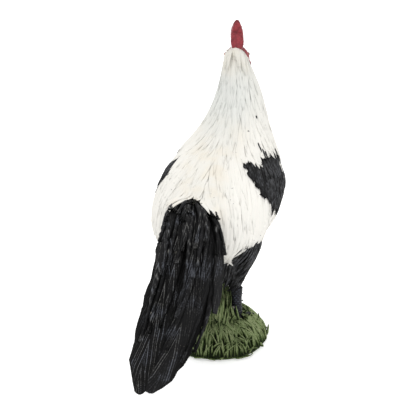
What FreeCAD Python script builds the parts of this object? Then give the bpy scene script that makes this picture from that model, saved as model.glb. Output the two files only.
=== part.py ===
# A hand-painted rooster ornament on a tuft of grass: separate castings, pinned and glued together.
# Units are millimetres. The origin is the middle of the base's flat underside, +Z is up and the
# bird faces -Y, so +X is the bird's left. The driving dimensions are in the sheet "Sizes".
import FreeCAD, Part
import math
import os

import Sketcher

Vector = FreeCAD.Vector
Rotation = FreeCAD.Rotation
Placement = FreeCAD.Placement
AXIS_X = Vector(1, 0, 0)
AXIS_Y = Vector(0, 1, 0)
AXIS_Z = Vector(0, 0, 1)

doc = FreeCAD.newDocument("rooster_ornament")
sheet = doc.addObject("Spreadsheet::Sheet", "Sizes")

# Driving dimensions: alias, value and what it measures.
SIZES = [
    ("base_width", 28.4, "grass base across the bird"),
    ("base_length", 31.0, "grass base along the bird"),
    ("base_height", 7.0, "ground on which the feet stand"),
    ("base_plateau_width", 18.0, "flat top of the base across the bird"),
    ("base_plateau_length", 21.6, "flat top of the base along the bird"),
    ("blade_width", 2.3, "one grass blade at its root"),
    ("blade_thickness", 1.1, "one grass blade at its root"),
    ("blade_root_depth", 1.2, "how far a blade's root is sunk in the ground"),
    ("rim_blade_height", 4.2, "blades on the side of the base"),
    ("ground_blade_height", 3.2, "blades on top of the base"),
    ("tuft_height", 15.5, "tall grass between the legs, above the ground"),
    ("tuft_width", 6.2, "tall grass across the bird at the ground"),
    ("tuft_length", 11.0, "tall grass along the bird at the ground"),
    ("leg_spread", 11.6, "distance between the two leg pins"),
    ("leg_station", 1.2, "leg pins behind the middle of the base"),
    ("foot_height", 2.4, "ground to the ankle"),
    ("hock_height", 10.4, "ground to the bottom of the thigh"),
    ("shank_width", 2.8, "lower leg at its middle"),
    ("hock_width", 3.4, "lower leg at the hock"),
    ("ankle_width", 3.3, "lower leg at the ankle"),
    ("scute_pitch", 1.55, "spacing of the scale rings on the lower leg"),
    ("scute_depth", 0.16, "depth of the scale rings"),
    ("spur_length", 2.3, "spur on the inner back of the leg"),
    ("spur_width", 1.3, "spur at its root"),
    ("spur_height", 4.4, "ground to the spur's axis"),
    ("toe_length", 8.2, "middle front toe with its claw"),
    ("toe_width", 1.8, "front toe at its root"),
    ("hind_toe_length", 4.6, "hind toe with its claw"),
    ("toe_spread", 33.0, "angle between two front toes"),
    ("pin_diameter", 1.2, "steel pin through each leg"),
    ("pin_clearance", 0.05, "radial space round a pin or dowel"),
    ("pin_in_base", 5.0, "length of a leg pin in the base"),
    ("pin_top_drop", 5.5, "top of a leg pin below the top of the thigh"),
    ("thigh_width", 9.4, "thigh across the bird at its top"),
    ("thigh_length", 15.5, "thigh along the bird at its top"),
    ("thigh_top_drop", 10.2, "top of the thigh, inside the body, below the widest line of the torso"),
    ("thigh_splay", 2.4, "top of the thigh outside the leg pin"),
    ("body_length", 47.0, "breast to rump"),
    ("body_width", 31.8, "torso without the wings"),
    ("back_height", 11.4, "back above the widest line of the torso"),
    ("belly_depth", 20.6, "belly below the widest line of the torso"),
    ("body_station", -26.5, "front of the breast from the middle of the base"),
    ("body_line_height", 44.6, "widest line of the torso above the table"),
    ("mantle_thickness", 1.75, "wings over the torso"),
    ("saddle_lift", 0.9, "saddle over the wings"),
    ("wing_bow_length", 20.6, "black shoulder of the wing"),
    ("wing_bow_height", 15.6, "black shoulder of the wing, top to bottom"),
    ("wing_station", -7.0, "middle of the shoulder from the middle of the base"),
    ("wing_axis_rise", 2.6, "middle of the shoulder above the widest line of the torso"),
    ("flight_length", 21.0, "white flight feathers behind the shoulder"),
    ("flight_height", 18.5, "white flight feathers, top to bottom"),
    ("flight_feather_depth", 2.6, "step between the tips of two flight feathers"),
    ("saddle_front", -8.0, "front of the saddle from the middle of the base"),
    ("saddle_rear", 24.0, "rear of the saddle from the middle of the base"),
    ("saddle_width", 32.6, "saddle where its hackles flare over the flanks"),
    ("saddle_line_drop", 6.1, "widest line of the flared saddle below that of the torso"),
    ("saddle_crest", 15.8, "top of the flared saddle above that line"),
    ("saddle_underside", 11.0, "flared saddle below that line"),
    ("saddle_fringe_drop", 9.4, "tips of the side hackles below the widest line of the torso"),
    ("saddle_tuft_drop", 14.4, "tip of the hackles beside the tail below the widest line of the torso"),
    ("saddle_tuft_offset", 8.0, "tip of those hackles from the middle of the bird"),
    ("hackle_hem_rise", 6.5, "hem of the neck cape at the shoulders above the widest line of the torso"),
    ("hackle_hem_tilt", 4.5, "hem higher on the back and lower on the breast than at the shoulders"),
    ("hackle_height", 30.7, "neck cape from its hem to the top of the nape"),
    ("hackle_width", 34.0, "neck cape over the shoulders"),
    ("hackle_depth", 34.0, "neck cape from breast to back"),
    ("hackle_station", -10.5, "middle of the cape from the middle of the base"),
    ("neck_lean", 10.2, "how far the nape stands in front of the cape's middle"),
    ("neck_bow", 1.5, "how far the neck bends to the bird's right"),
    ("neck_dowel_diameter", 3.0, "dowel between the torso and the neck"),
    ("neck_dowel_length", 20.0, "dowel between the torso and the neck"),
    ("neck_dowel_station", -14.0, "neck dowel from the middle of the base"),
    ("neck_dowel_drop", 1.6, "foot of the neck dowel below the widest line of the torso"),
    ("head_turn", 14.0, "head turned to the bird's left, in degrees"),
    ("head_width", 7.4, "face across the cheeks"),
    ("head_length", 10.6, "nape to the root of the beak"),
    ("head_height", 8.6, "throat to crown"),
    ("head_station", -22.4, "middle of the skull from the middle of the base"),
    ("head_axis_drop", 4.2, "middle of the skull below the top of the nape"),
    ("comb_length", 14.6, "single comb along the head"),
    ("comb_height", 9.2, "comb above its seat line"),
    ("comb_thickness", 3.1, "comb at its thickest"),
    ("comb_seat_depth", 1.6, "comb below the crown"),
    ("comb_point_depth", 2.9, "valleys between the comb's points"),
    ("beak_length", 5.4, "beak in front of the face"),
    ("beak_width", 3.4, "beak at its root"),
    ("beak_height", 2.5, "upper half of the beak at its root"),
    ("lower_beak_height", 1.3, "lower half of the beak at its root"),
    ("beak_seat_depth", 1.4, "beak root inside the face"),
    ("beak_gap", 0.1, "line between the two halves of the beak"),
    ("wattle_length", 6.4, "wattle, top to bottom"),
    ("wattle_breadth", 4.2, "wattle along the head"),
    ("wattle_thickness", 1.5, "wattle across the head"),
    ("wattle_spacing", 2.6, "distance between the two wattles' middles"),
    ("earlobe_height", 3.6, "ear lobe, top to bottom"),
    ("earlobe_length", 2.6, "ear lobe along the head"),
    ("earlobe_thickness", 1.6, "ear lobe across the head"),
    ("eye_diameter", 2.0, "bead of the eye"),
    ("tail_root_station", 16.0, "start of the tail from the middle of the base"),
    ("tail_root_rise", 0.2, "tail's axis at its root above the widest line of the torso"),
    ("tail_root_offset", 4.6, "tail's axis at its root, to the bird's left"),
    ("tail_rise", 7.0, "how far the tail lifts behind its root"),
    ("tail_reach", 28.0, "tail behind its root"),
    ("tail_sweep", 5.4, "tail's tip to the left of its root"),
    ("tail_tip_height", 2.0, "tail's tip above the table"),
    ("tail_width", 19.4, "tail across its widest place"),
    ("tail_depth", 5.4, "bundle of stiff inner feathers, top to bottom"),
    ("tail_arch", 3.2, "how much the tail's back is arched across"),
    ("feather_thickness", 0.95, "a tail feather along its shaft"),
    ("feather_edge", 0.22, "a tail feather at its edges"),
    ("feather_gap", 0.12, "space between two layers of feathers"),
    ("tail_dowel_diameter", 3.0, "dowel between the torso and the tail"),
    ("tail_dowel_length", 13.0, "dowel between the torso and the tail"),
    ("seat_gap", 0.1, "glue line where the tail enters the saddle"),
    ("cut_overrun", 2.0, "how far a cutting shape reaches past what it cuts"),
]

for row, (alias, value, meaning) in enumerate(SIZES, start=1):
    sheet.set("A%d" % row, meaning)
    sheet.set("B%d" % row, str(value))
    sheet.setAlias("B%d" % row, alias)
doc.recompute()


# A size keeps its value and the expression it comes from, so that one formula both draws and binds.
class Size:
    def __init__(self, value, text):
        self.value = float(value)
        self.text = text

    @staticmethod
    def of(other):
        return other if isinstance(other, Size) else Size(other, repr(float(other)))

    def __add__(self, other):
        other = Size.of(other)
        return Size(self.value + other.value, "(%s + %s)" % (self.text, other.text))

    __radd__ = __add__

    def __sub__(self, other):
        other = Size.of(other)
        return Size(self.value - other.value, "(%s - %s)" % (self.text, other.text))

    def __rsub__(self, other):
        return Size.of(other) - self

    def __mul__(self, other):
        other = Size.of(other)
        return Size(self.value * other.value, "(%s * %s)" % (self.text, other.text))

    __rmul__ = __mul__

    def __truediv__(self, other):
        other = Size.of(other)
        return Size(self.value / other.value, "(%s / %s)" % (self.text, other.text))

    def __neg__(self):
        return self * -1.0

    def __float__(self):
        return self.value


def size(alias):
    return Size(sheet.get(alias), "Sizes." + alias)


def mm(alias):
    return float(sheet.get(alias))


# Heights that follow the widest line of the torso
def thigh_height():
    return size("body_line_height") - size("thigh_top_drop") - size("base_height") - size("hock_height")


def wing_axis_height():
    return size("body_line_height") + size("wing_axis_rise")


def saddle_line_height():
    return size("body_line_height") - size("saddle_line_drop")


def hackle_hem_height():
    return size("body_line_height") + size("hackle_hem_rise")


def hackle_top_height():
    return hackle_hem_height() + size("hackle_height")


def tail_root_height():
    return size("body_line_height") + size("tail_root_rise")


# Helpers for the document's objects
pieces = []


def keep(obj, label):
    """Marks obj as the finished sub-part of that name."""
    obj.Label = label
    pieces.append(obj)
    return obj


def bind(obj, **properties):
    """Binds each property to a size and its expression."""
    for name, value in properties.items():
        obj.setExpression(name, Size.of(value).text)
    return obj


def place(obj, x=0.0, y=0.0, z=0.0, axis=None, angle=0.0):
    """Puts obj at a place that follows the sheet."""
    if axis is not None:
        obj.Placement = Placement(Vector(), Rotation(axis, float(angle)))
    for letter, value in (("x", x), ("y", y), ("z", z)):
        obj.setExpression("Placement.Base." + letter, Size.of(value).text)
    return obj


def feature(name, shape):
    """A document object that holds a shape made by Part's own functions."""
    obj = doc.addObject("Part::Feature", name)
    obj.Shape = shape
    return obj


def boolean(kind, name, base, *tools):
    """Cut, common or fuse as a parametric object. Several tools are cut as one."""
    if kind == "Cut":
        obj = doc.addObject("Part::Cut", name)
        obj.Base = base
        obj.Tool = tools[0] if len(tools) == 1 else gather(name + "_tools", *tools)
    else:
        obj = doc.addObject("Part::Multi" + kind, name)
        obj.Shapes = [base, *tools]
    obj.Refine = False
    return obj


def gather(name, *members):
    obj = doc.addObject("Part::Compound", name)
    obj.Links = list(members)
    return obj


def mirrored(name, source):
    """The same piece for the bird's other side."""
    obj = doc.addObject("Part::Mirroring", name)
    obj.Source = source
    obj.Base = Vector(0, 0, 0)
    obj.Normal = Vector(1, 0, 0)
    return obj


# Outlines and lofts
OVAL_SIDES = 28
FULL_TURN = 2 * math.pi
FLAT_COSINE_SHARE = 1e-6


def oval(centre, across, along, sides=OVAL_SIDES, fullness_share=1.0):
    """Points of an ellipse with the half axes across and along, always starting at the same side.

    A smaller fullness_share fills the ellipse's corners.
    """
    ring = []
    for n in range(sides):
        turn = FULL_TURN * n / sides
        reach, rise = [
            math.copysign(abs(value) ** fullness_share, value) for value in (math.cos(turn), math.sin(turn))
        ]
        ring.append(centre + across * reach + along * rise)
    return ring


def egg(centre, half_width, top, bottom, pinch_share=0.0, sides=OVAL_SIDES):
    """A cross-section in an X-Z plane: its own height above and below its widest line, drawn in below."""
    ring = []
    for n in range(sides):
        turn = FULL_TURN * n / sides
        rise = math.sin(turn)
        draw_in = 1 + pinch_share * min(0.0, rise)
        height = (top if rise > 0 else bottom) * rise
        ring.append(centre + AXIS_X * (half_width * math.cos(turn) * draw_in) + AXIS_Z * height)
    return ring


def flat_face(*corners):
    return Part.Face(Part.makePolygon([*corners, corners[0]]))


def facets(a, b, c, d, fold_at_a):
    """The four corners as one flat face, or as two where they don't lie in one plane."""
    normal = (b - a).cross(d - a)
    if abs(normal.normalize().dot((c - a).normalize())) <= FLAT_COSINE_SHARE:
        return [flat_face(a, b, c, d)]
    if fold_at_a:
        return [flat_face(a, b, c), flat_face(a, c, d)]
    return [flat_face(a, b, d), flat_face(b, c, d)]


def carved_loft(sections):
    """A closed solid of flat facets through rings of points, as a carver roughs out a form.

    The facets of the ring's first and last quarter mirror those of its two middle quarters.
    """
    faces = [flat_face(*sections[0]), flat_face(*sections[-1])]
    sides = len(sections[0])
    for low, high in zip(sections, sections[1:]):
        for n in range(sides):
            after = (n + 1) % sides
            outer_half = (n + sides // 4) % sides < sides // 2
            faces += facets(low[n], low[after], high[after], high[n], outer_half)
    solid = Part.makeSolid(Part.makeShell(faces))
    if solid.Volume < 0:
        solid.reverse()
    return solid


def blend(low, high, share):
    return low + (high - low) * share


def bezier(p0, p1, p2, p3, t):
    """A point of a cubic Bezier curve and its direction there."""
    s = 1 - t
    point = p0 * (s**3) + p1 * (3 * s * s * t) + p2 * (3 * s * t * t) + p3 * (t**3)
    slope = (p1 - p0) * (3 * s * s) + (p2 - p1) * (6 * s * t) + (p3 - p2) * (3 * t * t)
    return point, slope.normalize()


GOLDEN_SHARE = 0.618034


def varied(number):
    """An even spread of shares from 0 to 1 that never repeats, for hand-made unevenness."""
    return (number * GOLDEN_SHARE) % 1.0


# Sketches
def origin_plane(body, role):
    return next(feature for feature in body.Origin.OriginFeatures if feature.Role == role)


def new_body(name):
    return doc.addObject("PartDesign::Body", name)


def new_sketch(body, name, role, offset=0.0):
    """A sketch on one of the body's own planes, moved along the plane's normal."""
    sketch = body.newObject("Sketcher::SketchObject", name)
    sketch.AttachmentSupport = [(origin_plane(body, role), "")]
    sketch.MapMode = "FlatFace"
    sketch.setExpression("AttachmentOffset.Base.z", Size.of(offset).text)
    return sketch


def draw_outline(sketch, corners):
    """A closed outline whose corners are bound to the sheet."""
    flat = [Vector(float(x), float(y), 0) for x, y in corners]
    for start, end in zip(flat, flat[1:] + flat[:1]):
        sketch.addGeometry(Part.LineSegment(start, end), False)
    for n, (x, y) in enumerate(corners):
        sketch.addConstraint(Sketcher.Constraint("Coincident", n, 2, (n + 1) % len(corners), 1))
        for kind, value in (("DistanceX", x), ("DistanceY", y)):
            number = sketch.addConstraint(Sketcher.Constraint(kind, -1, 1, n, 1, float(value)))
            sketch.setExpression("Constraints[%d]" % number, Size.of(value).text)
    return sketch


def pad_both_ways(body, name, sketch, length):
    pad = body.newObject("PartDesign::Pad", name)
    pad.Profile = sketch
    pad.SideType = "Symmetric"
    pad.setExpression("Length", Size.of(length).text)
    return pad


# Ground: a flat-bottomed mound with the short grass cast on it
# Each row is a level: share of the base's height, then how far it has drawn in from the foot to the flat top.
MOUND_SHARES = [(0.0, 0.08), (0.15, 0.0), (0.42, 0.26), (0.75, 0.68), (1.0, 1.0)]
MOUND_FULLNESS_SHARE = 0.9
REAR_BLADE_SHARES = (0.6, 1.55)
BLADE_LEVEL_SHARES = [(0.0, 1.0), (0.5, 0.85), (1.0, 0.08)]


def mound_shape():
    sections = []
    for height_share, draw_in in MOUND_SHARES:
        across = blend(mm("base_width"), mm("base_plateau_width"), draw_in) / 2
        along = blend(mm("base_length"), mm("base_plateau_length"), draw_in) / 2
        level = AXIS_Z * (mm("base_height") * height_share)
        sections.append(oval(level, AXIS_X * across, AXIS_Y * along, OVAL_SIDES, MOUND_FULLNESS_SHARE))
    return carved_loft(sections)


def grass_blade(root, outward, height, lean, width):
    """A three-sided blade that rises from root and bends over outward by lean."""
    side = AXIS_Z.cross(outward)
    sections = []
    for rise_share, width_share in BLADE_LEVEL_SHARES:
        middle = root + AXIS_Z * (height * rise_share) + outward * (lean * rise_share**2)
        half = side * (width * width_share / 2)
        crest = outward * (mm("blade_thickness") * width_share)
        sections.append([middle - half, middle + crest, middle + half])
    return carved_loft(sections)


def ring_of_blades(count, ring_share, foot_height, blade_height, lean_share, first):
    """Blades round the base at a share of its size, of uneven height and lean, and longer behind the bird."""
    blades = []
    depth = mm("blade_root_depth")
    for n in range(count):
        angle = FULL_TURN * (n + 0.35 * varied(first + 3 * n)) / count
        outward = Vector(math.cos(angle), math.sin(angle), 0)
        across = mm("base_width") / 2 * ring_share
        along = mm("base_length") / 2 * ring_share
        to_rear = blend(*REAR_BLADE_SHARES, (1 + outward.y) / 2)
        height = blade_height * to_rear * blend(0.72, 1.12, varied(first + n)) + depth
        root = Vector(across * outward.x, along * outward.y, foot_height - depth)
        lean = height * lean_share * blend(0.6, 1.3, varied(first + 2 * n))
        blades.append(grass_blade(root - outward * depth, outward, height, lean, mm("blade_width")))
    return blades


def ground_shape():
    """The mound with three rings of short grass cast on it."""
    rim = ring_of_blades(26, 0.97, mm("blade_root_depth"), mm("rim_blade_height"), 0.16, 1)
    middle = ring_of_blades(21, 0.84, mm("base_height") * 0.66, mm("ground_blade_height") * 0.8, 0.12, 5)
    inner = ring_of_blades(15, 0.62, mm("base_height"), mm("ground_blade_height"), 0.08, 9)
    return mound_shape().multiFuse(rim + middle + inner)


TUFT_BLADES = 15
TUFT_SIDES = 8
TUFT_HEART_SHARES = [(0.0, 0.8), (0.4, 0.64), (0.75, 0.36), (0.95, 0.08)]


def tuft_shape():
    """Tall blades on an oval, with a core blade in the middle that ties them together."""
    base = mm("base_height")
    blades = []
    for n in range(TUFT_BLADES):
        angle = FULL_TURN * (n + 0.3 * varied(n)) / TUFT_BLADES
        outward = Vector(math.cos(angle), math.sin(angle), 0)
        root = Vector(
            (mm("tuft_width") / 2 - mm("blade_thickness")) * outward.x,
            (mm("tuft_length") / 2 - mm("blade_thickness")) * outward.y,
            base,
        )
        height = mm("tuft_height") * blend(0.62, 1.0, varied(2 * n + 1))
        blades.append(grass_blade(root, outward, height, -height * 0.1 * varied(n), mm("blade_width")))
    heart = []
    for rise_share, width_share in TUFT_HEART_SHARES:
        level = AXIS_Z * (base + mm("tuft_height") * rise_share)
        across = AXIS_X * (mm("tuft_width") / 2 * width_share)
        heart.append(oval(level, across, AXIS_Y * (mm("tuft_length") / 2 * width_share), TUFT_SIDES))
    return carved_loft(heart).multiFuse(blades)


# Legs
def leg_x():
    return size("leg_spread") / 2


def pin_hole(name, side):
    """The clearance hole of a leg pin, as long as the pin."""
    hole = doc.addObject("Part::Cylinder", name)
    bind(hole, Radius=size("pin_diameter") / 2 + size("pin_clearance"), Height=pin_length())
    return place(hole, side * leg_x(), size("leg_station"), size("base_height") - size("pin_in_base"))


def pin_length():
    return size("pin_in_base") + size("hock_height") + thigh_height() - size("pin_top_drop")


def build_pin(name, side):
    pin = doc.addObject("Part::Cylinder", name)
    bind(pin, Radius=size("pin_diameter") / 2, Height=pin_length())
    place(pin, side * leg_x(), size("leg_station"), size("base_height") - size("pin_in_base"))
    return keep(pin, name)


def build_shank():
    """The scaled lower leg: a turned profile with rings cut into it."""
    body = new_body("shank_body")
    sketch = new_sketch(body, "shank_profile", "XZ_Plane")
    low, high = size("foot_height"), size("hock_height")
    middle = low + (high - low) * 0.5
    corners = [
        (size("pin_diameter") / 2 + size("pin_clearance"), low),
        (size("ankle_width") / 2, low),
        (size("shank_width") / 2, middle),
        (size("hock_width") / 2, high),
        (size("pin_diameter") / 2 + size("pin_clearance"), high),
    ]
    draw_outline(sketch, corners)
    turned = body.newObject("PartDesign::Revolution", "shank_turned")
    turned.Profile = sketch
    turned.ReferenceAxis = (sketch, ["V_Axis"])
    turned.Angle = 360.0
    doc.recompute()
    ring = new_sketch(body, "scute_groove", "XZ_Plane")
    start = low + size("scute_pitch") * 0.6
    outer = size("ankle_width") / 2 + size("scute_depth")
    floor = size("shank_width") / 2 - size("scute_depth") * 0.4
    half_mouth = size("scute_pitch") * 0.3
    draw_outline(ring, [(floor, start), (outer, start - half_mouth), (outer, start + half_mouth)])
    groove = body.newObject("PartDesign::Groove", "scute_ring")
    groove.Profile = ring
    groove.ReferenceAxis = (ring, ["V_Axis"])
    groove.Angle = 360.0
    doc.recompute()
    rings = body.newObject("PartDesign::LinearPattern", "scute_rings")
    rings.Originals = [groove]
    rings.Direction = (sketch, ["V_Axis"])
    rings.Mode = "Spacing"
    rings.setExpression("Offset", size("scute_pitch").text)
    rings.Occurrences = int((mm("hock_height") - mm("foot_height")) / mm("scute_pitch")) - 1
    body.Tip = rings
    place(body, leg_x(), size("leg_station"), size("base_height"))
    return body


# Toe outline: share of the length, share of the width, share of the height over the ground
TOE_SHARES = [
    (0.0, 1.0, 1.0),
    (0.2, 0.78, 0.8),
    (0.33, 0.92, 0.86),
    (0.48, 0.66, 0.7),
    (0.62, 0.8, 0.74),
    (0.76, 0.42, 0.6),
    (1.0, 0.06, 0.16),
]
TOE_SIDES = 6


def toe_shape(heading, length, width):
    """One toe with its knuckles and claw, lying on the ground plane and pointing along heading."""
    direction = Vector(math.sin(math.radians(heading)), -math.cos(math.radians(heading)), 0)
    side = AXIS_Z.cross(direction)
    sections = []
    for length_share, width_share, height_share in TOE_SHARES:
        half_height = width * height_share / 2
        middle = direction * (length * length_share) + AXIS_Z * half_height
        flat_height = half_height / math.sin(math.pi / 3)
        sections.append(oval(middle, side * (width * width_share / 2), AXIS_Z * flat_height, TOE_SIDES))
    return carved_loft(sections)


# Ankle levels: share of the foot's height, share of the ankle's width
ANKLE_SHARES = [(0.0, 1.2), (0.6, 1.12), (1.0, 0.94)]
ANKLE_SIDES = 12


def build_foot():
    toes = [
        toe_shape(-mm("toe_spread"), mm("toe_length") * 0.72, mm("toe_width")),
        toe_shape(0.0, mm("toe_length"), mm("toe_width")),
        toe_shape(mm("toe_spread") * 1.1, mm("toe_length") * 0.84, mm("toe_width")),
        toe_shape(180.0 + mm("toe_spread") * 0.5, mm("hind_toe_length"), mm("toe_width") * 0.85),
    ]
    ankle_sections = []
    for height_share, width_share in ANKLE_SHARES:
        radius = mm("ankle_width") / 2 * width_share
        level = AXIS_Z * (mm("foot_height") * height_share)
        ankle_sections.append(oval(level, AXIS_X * radius, AXIS_Y * radius, ANKLE_SIDES))
    ankle = carved_loft(ankle_sections)
    foot = feature("foot_casting", ankle.multiFuse(toes))
    place(foot, leg_x(), size("leg_station"), size("base_height"))
    return foot


# Spur outline: share of the length, share of the width, share of the length by which it curves up
SPUR_SIDES = 6
SPUR_SHARES = [(0.0, 1.0, 0.0), (0.45, 0.72, 0.05), (0.8, 0.38, 0.2), (1.0, 0.06, 0.38)]


def build_spur():
    """The spur starts inside the leg, which is then cut out of it."""
    direction = Vector(-1, 2, 0).normalize()
    side = AXIS_Z.cross(direction)
    start = mm("shank_width") * 0.3
    sections = []
    for length_share, width_share, rise_share in SPUR_SHARES:
        reach = start + mm("spur_length") * length_share
        middle = direction * reach + AXIS_Z * (mm("spur_length") * rise_share)
        half = mm("spur_width") * width_share / 2
        sections.append(oval(middle, side * half, AXIS_Z * half, SPUR_SIDES))
    spur = feature("spur_casting", carved_loft(sections))
    return place(spur, leg_x(), size("leg_station"), size("base_height") + size("spur_height"))


# Thigh levels: share of the height, share of the width, share of the length, share of the splay
THIGH_SHARES = [
    (0.0, 0.34, 0.24, 0.0),
    (0.12, 0.42, 0.31, 0.05),
    (0.3, 0.6, 0.48, 0.25),
    (0.5, 0.8, 0.72, 0.65),
    (0.75, 0.98, 0.94, 0.97),
    (1.0, 0.95, 0.95, 1.0),
]
THIGH_SIDES = 20


def build_thigh():
    bottom = mm("base_height") + mm("hock_height")
    sections = []
    for height_share, width_share, length_share, splay_share in THIGH_SHARES:
        centre = Vector(
            mm("leg_spread") / 2 + mm("thigh_splay") * splay_share,
            mm("leg_station") * (1 - height_share),
            bottom + float(thigh_height()) * height_share,
        )
        across = AXIS_X * (mm("thigh_width") * width_share / 2)
        along = AXIS_Y * (mm("thigh_length") * length_share / 2)
        sections.append(oval(centre, across, along, THIGH_SIDES))
    return feature("thigh_casting", carved_loft(sections))


# Torso stations: share of the length from the breast, rise of the widest line as a share of the belly's
# depth, then half width, back and belly as shares of their largest
TORSO_SHARES = [
    (0.0, 0.0, 0.1, 0.12, 0.12),
    (0.035, -0.02, 0.37, 0.42, 0.34),
    (0.12, -0.02, 0.69, 0.74, 0.62),
    (0.28, 0.0, 0.94, 0.95, 0.86),
    (0.48, 0.0, 1.0, 1.0, 1.0),
    (0.58, -0.01, 0.97, 0.98, 1.02),
    (0.68, -0.04, 0.9, 0.93, 1.0),
    (0.77, -0.06, 0.78, 0.86, 0.86),
    (0.86, -0.08, 0.62, 0.76, 0.64),
    (0.95, -0.08, 0.44, 0.56, 0.4),
    (1.0, -0.08, 0.28, 0.36, 0.24),
]
BELLY_PINCH_SHARE = 0.18


def torso_shape(extra):
    """The torso, grown by extra on all sides."""
    length = mm("body_length") + 2 * extra
    sections = []
    for length_share, rise_share, width_share, back_share, belly_share in TORSO_SHARES:
        centre = Vector(
            0,
            mm("body_station") - extra + length * length_share,
            mm("body_line_height") + mm("belly_depth") * rise_share,
        )
        half = mm("body_width") / 2 * width_share + extra
        back = mm("back_height") * back_share + extra
        belly = mm("belly_depth") * belly_share + extra
        sections.append(egg(centre, half, back, belly, BELLY_PINCH_SHARE))
    return carved_loft(sections)


# Wings: parts of the torso's mantle, cut to their outline in side view
def build_wing_outline(name, corners):
    """A slab across the bird's left half with the given outline in side view."""
    body = new_body(name + "_outline")
    half_span = size("body_width") / 2 + size("mantle_thickness") + size("cut_overrun")
    sketch = new_sketch(body, name + "_sketch", "YZ_Plane", half_span * 0.5 + size("cut_overrun"))
    draw_outline(sketch, corners)
    pad_both_ways(body, name + "_pad", sketch, half_span)
    return body


# Side view of the shoulder: shares of its half length and half height
WING_BOW_SHARES = [
    (-1.0, 0.15),
    (-0.88, -0.4),
    (-0.5, -0.88),
    (-0.05, -1.0),
    (0.3, -0.84),
    (0.5, -0.5),
    (0.8, -0.1),
    (1.0, 0.35),
    (0.86, 0.7),
    (0.45, 0.95),
    (-0.05, 1.0),
    (-0.55, 0.85),
    (-0.88, 0.55),
]


def wing_bow_corners():
    y, z = size("wing_station"), wing_axis_height()
    half_length, half_height = size("wing_bow_length") / 2, size("wing_bow_height") / 2
    return [(y + half_length * reach, z + half_height * rise) for reach, rise in WING_BOW_SHARES]


FLIGHT_FEATHERS = 5


def flight_corners():
    """The flight feathers end in steps, from the lowest feather at the front to the tip at the rear."""
    y, z = size("wing_station"), wing_axis_height()
    half_length, half_height = size("wing_bow_length") / 2, size("wing_bow_height") / 2
    front = y - half_length * 0.45
    low = z - half_height * 1.62
    step = size("flight_height") * 0.5 / FLIGHT_FEATHERS
    corners = [(front, z - half_height * 0.8), (front + size("flight_length") * 0.14, low)]
    for n in range(FLIGHT_FEATHERS):
        reach = front + size("flight_length") * 0.5 + size("flight_feather_depth") * n
        corners.append((reach, low + step * (n + 0.1)))
        corners.append((reach - size("flight_feather_depth") * 0.35, low + step * (n + 0.9)))
    corners.append((y + half_length * 1.5, low + size("flight_height") * 0.75))
    corners.append((y + half_length * 0.8, z + half_height * 0.3))
    return corners


def build_left_wing(mantle, torso):
    bow_outline = build_wing_outline("wing_bow", wing_bow_corners())
    bow_blank = boolean("Common", "wing_bow_blank", mantle, bow_outline)
    bow = boolean("Cut", "wing_bow_shell", bow_blank, torso)
    flight_outline = build_wing_outline("flight", flight_corners())
    flight_blank = boolean("Common", "flight_blank", mantle, flight_outline)
    flight = boolean("Cut", "flight_shell", flight_blank, torso, bow_outline)
    return bow, flight


# Saddle stations: share of the way from front to rear, how far it has changed from the torso's own section
# to the flared one, and its size there as a share
SADDLE_SHARES = [
    (0.0, 0.0, 1.0),
    (0.25, 0.15, 1.01),
    (0.45, 0.55, 1.02),
    (0.62, 1.0, 1.0),
    (0.78, 1.0, 0.87),
    (0.9, 1.0, 0.66),
    (1.0, 1.0, 0.36),
]


def saddle_shape():
    """The saddle grows out of the back, flares over the flanks and closes round the tail's root."""
    grown = mm("mantle_thickness") + mm("saddle_lift")
    sections = []
    for length_share, change, size_share in SADDLE_SHARES:
        station = blend(mm("saddle_front"), mm("saddle_rear"), length_share)
        line = blend(mm("body_line_height"), float(saddle_line_height()), change)
        half = blend(mm("body_width") / 2 + grown, mm("saddle_width") / 2, change) * size_share
        crest = blend(mm("back_height") + grown, mm("saddle_crest"), change) * size_share
        underside = blend(mm("belly_depth"), mm("saddle_underside"), change) * size_share
        sections.append(egg(Vector(0, station, line), half, crest, underside))
    return carved_loft(sections)


def saddle_trim_corners():
    """Side view of what is kept: the back, and a fringe that hangs down the flank and beside the tail."""
    front, rear = size("saddle_front"), size("saddle_rear")
    run = rear - front
    top = saddle_line_height() + size("saddle_crest") + size("back_height")
    drop = size("saddle_fringe_drop")
    fringe = size("body_line_height") - drop
    tuft = size("body_line_height") - size("saddle_tuft_drop")
    return [
        (front - size("cut_overrun"), top),
        (front - size("cut_overrun"), fringe + drop * 2.08),
        (front + run * 0.2, fringe + drop * 2.02),
        (front + run * 0.33, fringe + drop * 1.68),
        (front + run * 0.42, fringe + drop * 1.2),
        (front + run * 0.47, fringe + drop * 0.7),
        (front + run * 0.5, fringe + drop * 0.38),
        (front + run * 0.53, fringe + drop * 0.6),
        (front + run * 0.58, fringe + drop * 0.05),
        (front + run * 0.62, fringe + drop * 0.25),
        (front + run * 0.68, fringe),
        (front + run * 0.74, fringe + drop * 0.15),
        (front + run * 0.8, tuft),
        (front + run * 0.88, tuft + drop * 0.3),
        (rear + size("cut_overrun"), tuft + drop * 0.5),
        (rear + size("cut_overrun"), top),
    ]


def saddle_rear_corners():
    """Rear view of what is kept: on each side of the tail the hackles run down to a point."""
    body_line = size("body_line_height")
    drop = size("saddle_fringe_drop")
    tip, tip_height = size("saddle_tuft_offset"), body_line - size("saddle_tuft_drop")
    flank = size("saddle_width") / 2 + size("cut_overrun")
    top = saddle_line_height() + size("saddle_crest") + size("back_height")
    right_side = [
        (flank, top),
        (flank, body_line - drop * 0.74),
        (tip + (flank - tip) * 0.3, body_line - drop * 0.88),
        (tip + (flank - tip) * 0.1, body_line - drop * 1.12),
        (tip, tip_height),
        (tip * 0.7, body_line - drop),
        (tip * 0.1, body_line - drop * 0.8),
    ]
    return right_side + [(-x, z) for x, z in reversed(right_side)]


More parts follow.
